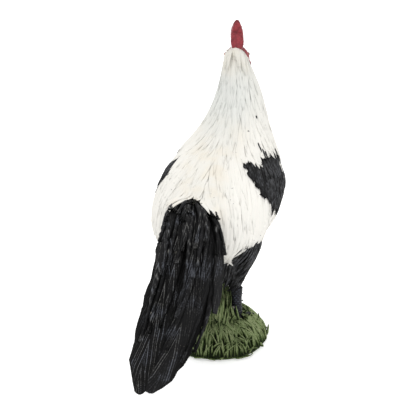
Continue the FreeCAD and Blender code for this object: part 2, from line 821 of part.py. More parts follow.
def build_saddle(torso, wings, tail_socket):
    side_view = new_body("saddle_side_outline")
    sketch = new_sketch(side_view, "saddle_side_sketch", "YZ_Plane")
    draw_outline(sketch, saddle_trim_corners())
    pad_both_ways(side_view, "saddle_side_pad", sketch, size("body_width") + size("saddle_width"))
    rear_view = new_body("saddle_rear_outline")
    sketch = new_sketch(rear_view, "saddle_rear_sketch", "XZ_Plane")
    draw_outline(sketch, saddle_rear_corners())
    pad_both_ways(rear_view, "saddle_rear_pad", sketch, (size("saddle_rear") + size("cut_overrun")) * 2)
    blank = boolean("Common", "saddle_blank", feature("saddle_loft", saddle_shape()), side_view, rear_view)
    return boolean("Cut", "saddle_shell", blank, torso, *wings, tail_socket)


# Neck levels: share from the hem to the nape, then lean, half width, half depth and tilt as shares
HACKLE_SHARES = [
    (0.0, 0.15, 0.9, 0.92, 1.0),
    (0.08, 0.28, 0.815, 0.86, 0.88),
    (0.2, 0.5, 0.665, 0.71, 0.65),
    (0.34, 0.68, 0.525, 0.58, 0.42),
    (0.5, 0.82, 0.425, 0.44, 0.25),
    (0.68, 0.9, 0.33, 0.33, 0.12),
    (0.84, 0.9, 0.25, 0.25, 0.0),
    (0.94, 0.88, 0.21, 0.22, 0.0),
    (1.0, 0.86, 0.14, 0.14, 0.0),
]


def hackle_shape():
    sections = []
    for height_share, lean_share, width_share, depth_share, tilt_share in HACKLE_SHARES:
        centre = Vector(
            -mm("neck_bow") * math.sin(math.pi * height_share),
            mm("hackle_station") - mm("neck_lean") * lean_share,
            float(hackle_hem_height() + size("hackle_height") * height_share),
        )
        across = AXIS_X * (mm("hackle_width") / 2 * width_share)
        along = AXIS_Y * (mm("hackle_depth") / 2 * depth_share)
        along += AXIS_Z * (mm("hackle_hem_tilt") * tilt_share)
        sections.append(oval(centre, across, along))
    return carved_loft(sections)


# Head: everything is drawn about the middle of the skull and then turned with the head
def head_placement():
    where = Vector(0, mm("head_station"), float(hackle_top_height() - size("head_axis_drop")))
    return Placement(where, Rotation(AXIS_Z, mm("head_turn")))


def on_head(obj):
    """Moves a finished head piece from the skull's own frame to its place on the bird."""
    obj.Placement = head_placement().multiply(obj.Placement)
    return obj


# Skull stations: share of the length from the back, half width, half height and rise as shares
SKULL_SHARES = [
    (0.0, 0.3, 0.3, -0.1),
    (0.08, 0.6, 0.62, -0.05),
    (0.25, 0.88, 0.9, 0.0),
    (0.45, 1.0, 1.0, 0.0),
    (0.65, 0.95, 0.92, -0.01),
    (0.82, 0.74, 0.72, -0.03),
    (0.94, 0.5, 0.5, -0.06),
    (1.0, 0.3, 0.32, -0.08),
]
SKULL_SIDES = 20


def build_skull():
    sections = []
    for length_share, width_share, height_share, rise_share in SKULL_SHARES:
        centre = Vector(0, mm("head_length") * (0.5 - length_share), mm("head_height") * rise_share)
        across = AXIS_X * (mm("head_width") / 2 * width_share)
        along = AXIS_Z * (mm("head_height") / 2 * height_share)
        sections.append(oval(centre, across, along, SKULL_SIDES))
    return on_head(feature("skull", carved_loft(sections)))


COMB_POINTS = 5


def comb_corners():
    """Side view of a single comb: a straight seat, five points that grow to the middle, and a rear lobe."""
    length, height, seat = size("comb_length"), size("comb_height"), size("comb_seat_depth")
    crown = size("head_height") / 2 - seat
    front, rear = -length * 0.5, length * 0.5
    tops = (0.42, 0.74, 0.97, 0.94, 0.66)
    corners = [(rear * 0.62, crown), (front * 0.9, crown), (front, crown + height * 0.16)]
    pitch = length * 0.84 / COMB_POINTS
    for n, top in enumerate(tops):
        tip = front + pitch * (n + 0.45)
        corners.append((tip, crown + height * top))
        if n < COMB_POINTS - 1:
            valley = tip + pitch * 0.55
            corners.append((valley, crown + height * min(top, tops[n + 1]) - size("comb_point_depth") * 0.55))
    corners.append((rear, crown + height * 0.34))
    return corners


def comb_section_corners():
    """Rear view of the comb: swollen at mid height and drawn in to a blunt edge."""
    half, height, seat = size("comb_thickness") / 2, size("comb_height"), size("comb_seat_depth")
    crown = size("head_height") / 2 - seat
    return [
        (half * 0.75, crown - size("cut_overrun") * 0.25),
        (half, crown + height * 0.42),
        (half * 0.34, crown + height * 1.0),
        (-half * 0.34, crown + height * 1.0),
        (-half, crown + height * 0.42),
        (-half * 0.75, crown - size("cut_overrun") * 0.25),
    ]


def build_comb(skull, hackle):
    outline = new_body("comb_outline")
    sketch = new_sketch(outline, "comb_sketch", "YZ_Plane")
    draw_outline(sketch, comb_corners())
    pad_both_ways(outline, "comb_pad", sketch, size("comb_thickness") + size("cut_overrun"))
    section = new_body("comb_section")
    face = new_sketch(section, "comb_section_sketch", "XZ_Plane")
    draw_outline(face, comb_section_corners())
    pad_both_ways(section, "comb_section_pad", face, size("comb_length") + size("cut_overrun"))
    on_head(outline)
    on_head(section)
    blank = boolean("Common", "comb_blank", outline, section)
    return boolean("Cut", "comb_casting", blank, skull, hackle)


# Beak stations: shares of the length, the width and the height, then how far it hooks down
BEAK_SHARES = [(0.0, 1.0, 1.0, 0.0), (0.4, 0.78, 0.86, 0.02), (0.75, 0.46, 0.56, 0.18), (1.0, 0.1, 0.14, 0.5)]
BEAK_ARC_POINTS = 7


def beak_shape(height, direction, hook):
    """Half of a beak: a flat cutting edge and a domed back, above it for direction 1 and below it for -1."""
    root = -(mm("head_length") / 2 - mm("beak_seat_depth"))
    length = mm("beak_length") + mm("beak_seat_depth")
    mouth = -mm("head_height") * 0.12 + direction * mm("beak_gap") / 2
    sections = []
    for length_share, width_share, height_share, hook_share in BEAK_SHARES:
        base = Vector(0, root - length * length_share, mouth - height * hook_share * hook)
        half = AXIS_X * (mm("beak_width") * width_share / 2)
        dome = AXIS_Z * (direction * height * height_share)
        turns = [math.pi * n / (BEAK_ARC_POINTS - 1) for n in range(BEAK_ARC_POINTS)]
        sections.append([base + half * math.cos(turn) + dome * math.sin(turn) for turn in turns])
    return carved_loft(sections)


# Wattle levels: share of the length, share of the thickness, share of the breadth
WATTLE_SHARES = [
    (0.0, 0.3, 0.42),
    (0.2, 0.7, 0.66),
    (0.5, 1.0, 0.94),
    (0.72, 0.95, 1.0),
    (0.9, 0.62, 0.72),
    (1.0, 0.16, 0.24),
]
SOFT_SIDES = 12


def build_wattle(name, side):
    top = -mm("head_height") * 0.26
    front = -mm("head_length") * 0.44
    sections = []
    for length_share, thickness_share, breadth_share in WATTLE_SHARES:
        centre = Vector(side * mm("wattle_spacing") / 2, front, top - mm("wattle_length") * length_share)
        across = AXIS_X * (mm("wattle_thickness") / 2 * thickness_share)
        along = AXIS_Y * (mm("wattle_breadth") / 2 * breadth_share)
        sections.append(oval(centre, across, along, SOFT_SIDES))
    return on_head(feature(name, carved_loft(sections)))


# Ear lobe levels: share of the height, share of its breadth
EARLOBE_SHARES = [(0.0, 0.2), (0.2, 0.75), (0.5, 1.0), (0.8, 0.72), (1.0, 0.2)]


def build_earlobe(name, side):
    sections = []
    for height_share, breadth_share in EARLOBE_SHARES:
        centre = Vector(
            side * mm("head_width") * 0.46,
            mm("head_length") * 0.02,
            -mm("head_height") * 0.2 + mm("earlobe_height") * (0.5 - height_share),
        )
        across = AXIS_X * (mm("earlobe_thickness") / 2 * breadth_share)
        along = AXIS_Y * (mm("earlobe_length") / 2 * breadth_share)
        sections.append(oval(centre, across, along, SOFT_SIDES))
    return on_head(feature(name, carved_loft(sections)))


# Eye stations across the head: share of the eye's half diameter, share of its radius there
EYE_SHARES = [(-1.0, 0.1), (-0.7, 0.71), (0.0, 1.0), (0.7, 0.71), (1.0, 0.1)]


def build_eye(name, side):
    radius = mm("eye_diameter") / 2
    sections = []
    for depth_share, radius_share in EYE_SHARES:
        centre = Vector(
            side * mm("head_width") * 0.42 + radius * depth_share,
            -mm("head_length") * 0.17,
            mm("head_height") * 0.13,
        )
        reach = radius * radius_share
        sections.append(oval(centre, AXIS_Y * reach, AXIS_Z * reach, SOFT_SIDES))
    return on_head(feature(name, carved_loft(sections)))


# Tail: an arched bundle that rises behind the rump and falls to the table, shingled with long feathers
# Half width of the tail along its axis: share of the length, share of the widest half width
TAIL_WIDTH_SHARES = [
    (-0.1, 0.36),
    (0.0, 0.38),
    (0.12, 0.52),
    (0.3, 0.8),
    (0.55, 0.94),
    (0.75, 0.97),
    (0.86, 0.92),
    (0.94, 0.74),
    (1.0, 0.32),
]


def along_table(table, t):
    """Reads a table of (t, value) with straight lines between its rows."""
    if t <= table[0][0]:
        return table[0][1]
    for (t0, v0), (t1, v1) in zip(table, table[1:]):
        if t <= t1:
            return blend(v0, v1, (t - t0) / (t1 - t0))
    return table[-1][1]


def tail_axis(t):
    """The middle of the tail's back and its direction."""
    root = Vector(mm("tail_root_offset"), mm("tail_root_station"), float(tail_root_height()))
    reach, rise, sweep = mm("tail_reach"), mm("tail_rise"), mm("tail_sweep")
    fall = float(tail_root_height() - size("tail_tip_height"))
    lift = root + Vector(-sweep * 0.5, reach * 0.42, rise)
    turn = root + Vector(-sweep * 2.0, reach * 1.1, -fall * 0.12)
    tip = root + Vector(sweep, reach, -fall)
    if t < 0:
        point, slope = bezier(root, lift, turn, tip, 0.0)
        return point + slope * (t * reach), slope
    return bezier(root, lift, turn, tip, t)


def tail_point(t, u, height, fanned=True):
    """A point of the tail: t along it, u across it from -1 to 1, and height over its arched back.

    A fanned point rises square to the arch, another one square to the tail's middle.
    """
    middle, slope = tail_axis(t)
    across = (AXIS_X - slope * AXIS_X.dot(slope)).normalize()
    outward = across.cross(slope)
    half = mm("tail_width") / 2 * along_table(TAIL_WIDTH_SHARES, t)
    drop = mm("tail_arch") * along_table(TAIL_WIDTH_SHARES, t) * u * u
    tilt = 4 * mm("tail_arch") * u / mm("tail_width") if fanned else 0.0
    normal = (outward + across * tilt).normalize()
    return middle + across * (half * u) - outward * drop + normal * height


# Width of a feather along its own length
FEATHER_WIDTH_SHARES = [(0.0, 0.45), (0.15, 0.7), (0.45, 1.0), (0.75, 0.96), (0.9, 0.66), (1.0, 0.12)]
FEATHER_STATIONS = 9


def feather_shape(start, end, centre_from, centre_to, half_width, layer):
    """One tail feather from start to end along the tail: a raised shaft, thin edges and a flat underside."""
    lift = layer * (mm("feather_thickness") + mm("feather_gap")) + mm("feather_gap")
    thick, thin = mm("feather_thickness"), mm("feather_edge")
    sections = []
    for n in range(FEATHER_STATIONS):
        share = n / (FEATHER_STATIONS - 1)
        t = blend(start, end, share)
        half = half_width * along_table(FEATHER_WIDTH_SHARES, share)
        middle = blend(centre_from, centre_to, share)
        left, right = middle - half, middle + half
        low_thick = blend(thick, thick * 0.6, share)
        sections.append(
            [
                tail_point(t, left, lift),
                tail_point(t, middle, lift),
                tail_point(t, right, lift),
                tail_point(t, right, lift + thin),
                tail_point(t, middle + half * 0.12, lift + low_thick * 0.8),
                tail_point(t, middle, lift + low_thick),
                tail_point(t, middle - half * 0.12, lift + low_thick * 0.8),
                tail_point(t, left, lift + thin),
            ]
        )
    return carved_loft(sections)


CORE_STATIONS = 11
CORE_TOP_SHARES = [-0.92, -0.46, 0.0, 0.46, 0.92]
CORE_UNDER_SHARES = [
    (0.84, 0.35),
    (0.6, 0.85),
    (0.4, 0.6),
    (0.2, 1.0),
    (0.0, 0.72),
    (-0.2, 1.0),
    (-0.4, 0.6),
    (-0.6, 0.85),
    (-0.84, 0.35),
]


def tail_core_shape():
    """The stiff inner feathers: an arched top and four ridges below."""
    sections = []
    for n in range(CORE_STATIONS):
        t = blend(0.0, 0.97, n / (CORE_STATIONS - 1))
        depth = mm("tail_depth") * blend(1.0, 0.3, n / (CORE_STATIONS - 1))
        top = [tail_point(t, u, 0.0) for u in CORE_TOP_SHARES]
        under = [tail_point(t, u, -depth * share, False) for u, share in CORE_UNDER_SHARES]
        sections.append(top + under)
    return carved_loft(sections)


# Tail feathers: name, start and end along the tail, place across it at both ends, half width, layer
TAIL_FEATHERS = [
    ("main_sickle_left", 0.05, 1.0, 0.5, 0.5, 0.42, 0),
    ("main_sickle_right", 0.05, 0.985, -0.42, -0.36, 0.42, 0),
    ("lesser_sickle_left_outer", 0.04, 0.7, 0.66, 0.74, 0.27, 1),
    ("lesser_sickle_left_inner", 0.04, 0.8, 0.17, 0.2, 0.24, 1),
    ("lesser_sickle_right_inner", 0.04, 0.86, -0.3, -0.22, 0.22, 1),
    ("lesser_sickle_right_outer", 0.04, 0.64, -0.76, -0.72, 0.22, 1),
    ("tail_covert_left_outer", 0.03, 0.44, 0.42, 0.5, 0.25, 2),
    ("tail_covert_middle", 0.03, 0.5, -0.02, 0.02, 0.2, 2),
    ("tail_covert_right_inner", 0.03, 0.56, -0.42, -0.44, 0.19, 2),
    ("tail_covert_right_outer", 0.03, 0.36, -0.84, -0.86, 0.2, 2),
    ("root_covert_left", 0.03, 0.24, 0.56, 0.6, 0.3, 3),
    ("root_covert_middle", 0.03, 0.28, 0.0, 0.04, 0.26, 3),
    ("root_covert_right", 0.03, 0.26, -0.56, -0.58, 0.3, 3),
]
FEATHER_LAYERS = 4


SOCKET_TOP_SHARES = [(-1.1, 0.5), (-0.6, 0.9), (0.0, 1.0), (0.6, 0.9), (1.1, 0.5)]


def tail_socket_shape():
    """The space in the saddle and the rump from which the tail comes out."""
    gap = mm("seat_gap")
    lift = FEATHER_LAYERS * (mm("feather_thickness") + mm("feather_gap")) + mm("feather_gap") + gap
    sections = []
    for t in (0.0, 0.1, 0.2, 0.32, 0.45):
        top = [tail_point(t, u, lift * lift_share) for u, lift_share in SOCKET_TOP_SHARES]
        under = [tail_point(t, u, -mm("tail_depth") - gap, False) for u in (1.0, 0.0, -1.0)]
        sections.append(top + under)
    return carved_loft(sections)


def dowel(name, alias, allowance):
    """A dowel of the named diameter, or with allowance its hole."""
    obj = doc.addObject("Part::Cylinder", name)
    bind(obj, Radius=size(alias + "_diameter") / 2 + allowance, Height=size(alias + "_length"))
    return obj


def neck_dowel(name, allowance):
    obj = dowel(name, "neck_dowel", allowance)
    return place(obj, 0.0, size("neck_dowel_station"), size("body_line_height") - size("neck_dowel_drop"))


def tail_dowel(name, allowance):
    """The tail's dowel lies half in the torso and half in the tail, along the tail's own axis."""
    obj = dowel(name, "tail_dowel", allowance)
    point, slope = tail_axis(0.0)
    across = (AXIS_X - slope * AXIS_X.dot(slope)).normalize()
    outward = across.cross(slope)
    centre = point - outward * (mm("tail_depth") * 0.45)
    foot = centre - slope * (mm("tail_dowel_length") / 2)
    obj.Placement = Placement(foot, Rotation(AXIS_Z, slope))
    return obj


# Assembly
clearance = size("pin_clearance")
left_hole = pin_hole("left_pin_hole", 1)
right_hole = pin_hole("right_pin_hole", -1)
neck_hole = neck_dowel("neck_dowel_hole", clearance)
tail_hole = tail_dowel("tail_dowel_hole", clearance)

mound_and_grass = feature("ground", ground_shape())
shank = build_shank()
foot = build_foot()
spur = build_spur()
thigh = build_thigh()
tuft = feature("tuft_casting", tuft_shape())
torso_blank = feature("torso_blank", torso_shape(0.0))
mantle = feature("mantle", torso_shape(mm("mantle_thickness")))
tail_socket = feature("tail_socket", tail_socket_shape())
bow, flight = build_left_wing(mantle, torso_blank)
bow_right = mirrored("bow_right", bow)
flight_right = mirrored("flight_right", flight)
skull = build_skull()

foot_solid = boolean("Cut", "foot_with_hole", foot, left_hole)
spur_solid = boolean("Cut", "spur_on_leg", spur, shank)
thigh_solid = boolean("Cut", "thigh_under_body", thigh, torso_blank, left_hole)
legs = [foot_solid, shank, spur_solid, thigh_solid]
right_legs = [mirrored("right_" + part.Name, part) for part in legs]

foot_right = mirrored("foot_right", foot)
leg_sockets = [left_hole, right_hole, foot, foot_right]
keep(boolean("Cut", "ground_with_holes", mound_and_grass, *leg_sockets), "grass_base")
keep(boolean("Cut", "tuft_between_legs", tuft, *legs, *right_legs, torso_blank), "tall_grass_tuft")
for part, other, label in zip(legs, right_legs, ("foot", "shank", "spur", "thigh")):
    keep(part, "left_" + label)
    keep(other, "right_" + label)
build_pin("left_leg_pin", 1)
build_pin("right_leg_pin", -1)

holes = [left_hole, right_hole, neck_hole, tail_hole]
torso = keep(boolean("Cut", "torso_with_holes", torso_blank, *holes, tail_socket), "torso")
keep(bow, "left_wing_bow")
keep(bow_right, "right_wing_bow")
keep(flight, "left_wing_flight")
keep(flight_right, "right_wing_flight")
wings = [bow, flight, bow_right, flight_right]
saddle = keep(build_saddle(torso_blank, wings, tail_socket), "saddle_cape")
hackle_blank = feature("hackle_blank", hackle_shape())
hackle = boolean("Cut", "hackle_casting", hackle_blank, torso_blank, *wings, saddle, skull, neck_hole)
keep(hackle, "neck_hackle")
keep(neck_dowel("neck_dowel", 0.0), "neck_dowel")

earlobes = [build_earlobe("left_lobe", 1), build_earlobe("right_lobe", -1)]
eyes = [build_eye("left_eye_bead", 1), build_eye("right_eye_bead", -1)]
beaks = [on_head(feature("upper_beak_casting", beak_shape(mm("beak_height"), 1, 1.0)))]
beaks.append(on_head(feature("lower_beak_casting", beak_shape(mm("lower_beak_height"), -1, 0.4))))
wattles = [build_wattle("left_drop", 1), build_wattle("right_drop", -1)]
for obj, label in zip(beaks, ("upper_beak", "lower_beak")):
    keep(obj, label)
for obj, label in zip(eyes, ("left_eye", "right_eye")):
    keep(obj, label)
for obj, side in zip(earlobes, ("left", "right")):
    keep(boolean("Cut", side + "_earlobe_on_face", obj, skull, hackle), side + "_earlobe")
for obj, side in zip(wattles, ("left", "right")):
    keep(boolean("Cut", side + "_wattle_on_face", obj, skull, hackle_blank, *beaks), side + "_wattle")
keep(build_comb(skull, hackle_blank), "comb")
keep(boolean("Cut", "head_casting", skull, *eyes, *beaks), "head")

core = feature("tail_core_blank", tail_core_shape())
keep(boolean("Cut", "tail_core_with_hole", core, tail_hole), "tail_core")
keep(tail_dowel("tail_dowel", 0.0), "tail_dowel")
for label, start, end, centre_from, centre_to, half_width, layer in TAIL_FEATHERS:
    keep(feature(label, feather_shape(start, end, centre_from, centre_to, half_width, layer)), label)

doc.recompute()

# Checks, then one file for each sub-part
os.makedirs("parts", exist_ok=True)
failed = [obj.Name for obj in doc.Objects if "Invalid" in obj.State or "Error" in obj.State]
if failed:
    raise RuntimeError("these objects failed: %s" % failed)
for obj in pieces:
    if obj.Shape.isNull() or not obj.Shape.isValid() or not obj.Shape.Solids:
        raise RuntimeError("sub-part %s has no valid solid" % obj.Label)
for obj in pieces:
    obj.Shape.exportStep("parts/%s.step" % obj.Label)
    print("%-28s solids %3d  volume %9.2f" % (obj.Label, len(obj.Shape.Solids), obj.Shape.Volume))
print(len(pieces), "sub-parts")
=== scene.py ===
# %% [markdown]
# # A hand-painted rooster ornament
#
# The real thing is a small cast cockerel on a clump of grass, painted by hand. The sculptor cut every
# feather as a groove and a ridge, and the painter brushed colour over them. The CAD model gives the
# plain castings. This notebook dresses them: feather by feather for the bird, blade by blade for the
# grass, then one paint finish after another.

# %% Load the CAD model
import math
import random
from itertools import product

import bpy
import numpy as np
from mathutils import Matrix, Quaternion, Vector, noise
from mathutils.bvhtree import BVHTree


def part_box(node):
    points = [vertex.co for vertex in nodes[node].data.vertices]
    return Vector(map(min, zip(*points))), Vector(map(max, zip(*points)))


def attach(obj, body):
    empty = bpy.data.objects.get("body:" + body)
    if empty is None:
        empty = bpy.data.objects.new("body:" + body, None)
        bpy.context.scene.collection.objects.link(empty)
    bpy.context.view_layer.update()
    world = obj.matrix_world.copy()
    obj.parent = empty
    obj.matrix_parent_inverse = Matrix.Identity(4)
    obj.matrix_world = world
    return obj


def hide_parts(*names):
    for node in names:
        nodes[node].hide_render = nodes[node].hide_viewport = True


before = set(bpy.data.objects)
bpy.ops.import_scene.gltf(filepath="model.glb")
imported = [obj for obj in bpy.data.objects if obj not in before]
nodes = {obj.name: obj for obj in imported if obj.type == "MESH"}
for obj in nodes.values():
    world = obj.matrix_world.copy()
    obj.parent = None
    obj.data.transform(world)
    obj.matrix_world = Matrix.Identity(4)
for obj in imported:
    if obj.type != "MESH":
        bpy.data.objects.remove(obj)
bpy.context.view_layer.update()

MM = 0.001

# %% [markdown]
# ## Camera, light and floor
#
# The photograph looks at the bird from behind, from its right and a little above, through a long lens.
# A long lens far away keeps the far side of the bird nearly as large as the near side. The shift slides
# the picture without turning the camera, because the bird doesn't stand in the middle of the frame.

# %% Camera
AZIMUTH, ELEVATION = 194, 20
DISTANCE = 500 * MM
TARGET = Vector((0, 0, 44 * MM))
SENSOR = 36.0
VIEW_WIDTH = 116.9 * MM
PICTURE = 416
TARGET_PIXEL = (218.0, 195.8)


def direction(azimuth, elevation):
    """The way from the bird to what stands at these angles, in degrees from straight in front of it."""
    turn, rise = math.radians(azimuth), math.radians(elevation)
    return Vector((math.sin(turn) * math.cos(rise), -math.cos(turn) * math.cos(rise), math.sin(rise)))


def aim(obj, way, distance):
    """Puts a camera or a lamp at distance from the bird and turns it there."""
    bpy.context.scene.collection.objects.link(obj)
    obj.location = TARGET + way * distance
    obj.rotation_euler = (-way).to_track_quat("-Z", "Y").to_euler()


camera = bpy.data.objects.new("camera", bpy.data.cameras.new("camera"))
camera.data.sensor_width = SENSOR
camera.data.lens = SENSOR * DISTANCE / VIEW_WIDTH
camera.data.shift_x = (PICTURE / 2 - TARGET_PIXEL[0]) / PICTURE
camera.data.shift_y = (TARGET_PIXEL[1] - PICTURE / 2) / PICTURE
camera.data.clip_start = 0.01
camera.data.clip_end = 20.0
aim(camera, direction(AZIMUTH, ELEVATION), DISTANCE)
bpy.context.scene.camera = camera
print("lens", round(camera.data.lens, 1), "mm")

# %% [markdown]
# A product photographer lights such a figure with large soft boxes, so shadows are faint and the
# grooves still show. The world gives the even part of the light, three area lamps give it direction.

# %% Lights and world
WORLD_STRENGTH = 0.89
bpy.context.scene.view_settings.view_transform = "Standard"
world = bpy.data.worlds.new("studio")
bpy.context.scene.world = world
world.use_nodes = True
world.node_tree.nodes["Background"].inputs["Color"].default_value = (1.0, 1.0, 1.0, 1.0)
world.node_tree.nodes["Background"].inputs["Strength"].default_value = WORLD_STRENGTH


def soft_box(name, azimuth, elevation, distance, width, watts):
    """A square lamp that looks at the bird."""
    lamp = bpy.data.objects.new(name, bpy.data.lights.new(name, "AREA"))
    lamp.data.shape = "SQUARE"
    lamp.data.size = width
    lamp.data.energy = watts
    aim(lamp, direction(azimuth, elevation), distance)
    print(name, watts, "W")


soft_box("key_light", 172, 58, 0.75, 0.45, 1.0)
soft_box("fill_light", 250, 28, 0.8, 0.7, 0.8)
soft_box("front_light", 20, 40, 0.8, 0.6, 1.2)

# %% [markdown]
# ## Shader maths as Python
#
# A material is a graph of nodes. Written out node by node it is hard to read, so a small class wraps a
# socket and lets `+`, `-` and `*` add the Math nodes. Every other node comes from one method.


# %% A socket that can be used in expressions
class Socket:
    def __init__(self, finish, end):
        self.finish = finish
        self.end = end

    def maths(self, operation, first, second=0.0):
        return self.finish.node("ShaderNodeMath", {"operation": operation}, {0: first, 1: second})

    def __add__(self, other):
        return self.maths("ADD", self, other)

    def __sub__(self, other):
        return self.maths("SUBTRACT", self, other)

    def __mul__(self, other):
        return self.maths("MULTIPLY", self, other)

    def __radd__(self, other):
        return self.maths("ADD", other, self)

    def __rsub__(self, other):
        return self.maths("SUBTRACT", other, self)

    def __rmul__(self, other):
        return self.maths("MULTIPLY", other, self)

    def __abs__(self):
        return self.maths("ABSOLUTE", self)

    def power(self, exponent):
        return self.maths("POWER", self, exponent)

    def above(self, low, high):
        """0 below low, 1 above high and smooth between."""
        return self.finish.node(
            "ShaderNodeMapRange",
            {"interpolation_type": "SMOOTHSTEP"},
            {"Value": self, "From Min": low, "From Max": high},
        )


# %% A finish in the making
class Finish:
    """A material, its nodes and its shader."""

    def __init__(self, name):
        self.material = bpy.data.materials.new(name)
        self.material.use_nodes = True
        self.tree = self.material.node_tree
        self.shader = self.tree.nodes["Principled BSDF"]
        self.place = self.node("ShaderNodeTexCoord", {}, {}, "Object")

    def plug(self, value, socket):
        if isinstance(value, Socket):
            self.tree.links.new(value.end, socket)
        else:
            socket.default_value = value

    def node(self, kind, settings, sockets, output=0):
        made = self.tree.nodes.new(kind)
        for name, value in settings.items():
            setattr(made, name, value)
        for key, value in sockets.items():
            self.plug(value, made.inputs[key])
        return Socket(self, made.outputs[output])

    def mix(self, share, first, second):
        """The first colour where share is 0, the second where it is 1."""
        return self.node("ShaderNodeMix", {"data_type": "RGBA"}, {0: share, 6: first, 7: second}, 2)

    def speckle(self, size, detail=2.0, place=None):
        """Cloudy noise from 0 to 1 whose clouds are about size wide."""
        sockets = {"Vector": place or self.place, "Scale": 1 / size, "Detail": detail}
        return self.node("ShaderNodeTexNoise", {}, sockets)

    def marks(self, *names):
        """Numbers that the modelling steps wrote on the mesh."""
        return [self.node("ShaderNodeAttribute", {"attribute_name": name}, {}, "Fac") for name in names]

    def bump(self, height, depth, strength):
        made = self.node("ShaderNodeBump", {}, {"Height": height, "Distance": depth, "Strength": strength})
        self.plug(made, self.shader.inputs["Normal"])

    def coat(self, colour, roughness, shine=0.5):
        """Colour and roughness come from the graph; shine is how much the paint mirrors what is round it."""
        self.plug(colour, self.shader.inputs["Base Color"])
        self.plug(roughness, self.shader.inputs["Roughness"])
        self.shader.inputs["Specular IOR Level"].default_value = shine
        print("finish:", self.material.name, len(self.tree.nodes), "nodes")
        return self.material


def tint(red, green, blue):
    """A colour as a picture program writes it, from 0 to 255, in the linear numbers of a shader."""
    parts = [value / 255 for value in (red, green, blue)]
    return tuple(v / 12.92 if v <= 0.04045 else ((v + 0.055) / 1.055) ** 2.4 for v in parts) + (1.0,)


# %% [markdown]
# ## The paints
#
# The figure is painted as craftsmen paint such castings: a dark or pale ground coat runs into the
# grooves, and a nearly dry brush then catches only the ridges. The darker colour in the grooves is also
# painted shade, and on dark paints the brush also lays a painted highlight. The modelling steps below
# write four numbers on each mesh: `ridge` is 0 in a groove and 1 on a ridge, `tone` differs from
# feather to feather, `black` says how much black covers the place, on the tail how deep its painted
# shade is, and `along` runs from root to tip.
#
# White and black plumage are one finish, because the painter let both colours meet on the same
# feathers. The white is creamy. On the neck it is cooler and darker, with greyer grooves: painted shade.
# Elsewhere the grooves get a lighter painted shade, and the sides, where the body turns away, are painted
# lighter as painted light. The black is matt, with a grey dry brush over its ridges that is also a
# painted highlight.


# %% Paint of the plumage
def plumage_paint():
    paint = Finish("painted_plumage")
    ridge, tone, black = paint.marks("ridge", "tone", "black")
    cloud = paint.speckle(4.5 * MM, 3.0)
    grain = paint.speckle(0.5 * MM, 4.0)
    sideways = paint.node("ShaderNodeSeparateXYZ", {}, {0: paint.place}, 0)
    height = paint.node("ShaderNodeSeparateXYZ", {}, {0: paint.place}, 2)
    # Painted light: the sides, where the body turns away from the middle, get a lighter white.
    sides_painted_light = abs(sideways - 1 * MM).above(3 * MM, 11 * MM)
    on_neck = height.above(56 * MM, 68 * MM) * (1 - height.above(71 * MM, 79 * MM) * 0.8)
    # Painted shade on the neck: a cooler, darker white, which also deepens the grooves' painted shade.
    neck_cool_and_painted_shade = on_neck * (1 - sides_painted_light * 0.7)

    cream = paint.mix(cloud.above(0.35, 0.7), tint(238, 235, 227), tint(238, 231, 217))
    cream = paint.mix(sides_painted_light, cream, tint(246, 243, 236))
    cream = paint.mix(neck_cool_and_painted_shade, cream, tint(233, 234, 229))
    cream = paint.mix(tone * 0.25, cream, tint(233, 233, 228))
    # Painted shade: grey in the grooves of the white, strongest on the neck.
    groove_painted_shade = (1 - ridge).power(1.6) * (0.08 + neck_cool_and_painted_shade * 0.35 + cloud * 0.2)
    white = paint.mix(groove_painted_shade, cream, tint(196, 200, 198))
    chips = paint.speckle(1.0 * MM, 3.0).above(0.715, 0.73) * paint.speckle(8 * MM, 1.0).above(0.5, 0.58)
    white = paint.mix(chips, white, tint(60, 58, 56))

    dark = paint.mix(tone, tint(14, 14, 14), tint(38, 38, 39))
    # Grey dry brush on the black's ridges and in mottled patches, which is also a painted highlight for the
    # satin sheen.
    mottle = paint.speckle(1.2 * MM, 4.0)
    dry_brush_and_highlight = (ridge * 0.6 + grain * 0.6 + mottle * 1.1 + tone * 0.2 - 1.0).above(0.2, 0.7)
    grey = paint.mix(cloud, tint(98, 98, 99), tint(82, 85, 92))
    ink = paint.mix(dry_brush_and_highlight * 0.75, dark, grey)

    edge = (black + (grain - 0.5) * 0.5).above(0.45, 0.55)
    paint.bump(grain, 0.03 * MM, 0.5)
    return paint.coat(paint.mix(edge, white, ink), 0.62 - edge * 0.1 + (grain - 0.5) * 0.1, 0.12)


PLUMAGE = plumage_paint()

# %% [markdown]
# The tail is black too. Its strands are brushed with a bluish grey, which is also a painted highlight,
# and its raised places are worn to bare ground. The gaps between the feathers, their edges and roots
# get painted shade, deep black. Here the `black` mark carries that painted shade.


# %% Paint of the tail
def tail_paint():
    paint = Finish("painted_tail")
    ridge, tone, painted_shade = paint.marks("ridge", "tone", "black")
    cloud = paint.speckle(5 * MM, 3.0)
    grain = paint.speckle(0.4 * MM, 4.0)
    dark = paint.mix(tone, tint(12, 12, 12), tint(34, 34, 35))
    grey = paint.mix(cloud.above(0.4, 0.65), tint(126, 125, 122), tint(106, 109, 117))
    # Dry brush on the strands, which also paints the sheen as a painted highlight.
    dry_brush_and_highlight = (ridge * 0.85 + grain * 0.9 + cloud * 0.8 - 1.0).above(0.05, 0.8)
    colour = paint.mix(dry_brush_and_highlight * 0.8, dark, grey)
    worn = paint.speckle(1.3 * MM, 4.0).above(0.7, 0.74) * ridge
    colour = paint.mix(worn * 0.7, colour, tint(176, 172, 160))
    # Painted shade: deep black between and under the feathers.
    colour = paint.mix(painted_shade.above(0.1, 0.95), colour, tint(5, 5, 5))
    paint.bump(grain, 0.03 * MM, 0.5)
    return paint.coat(colour, 0.5 + grain * 0.12, 0.07)


TAIL_BLACK = tail_paint()

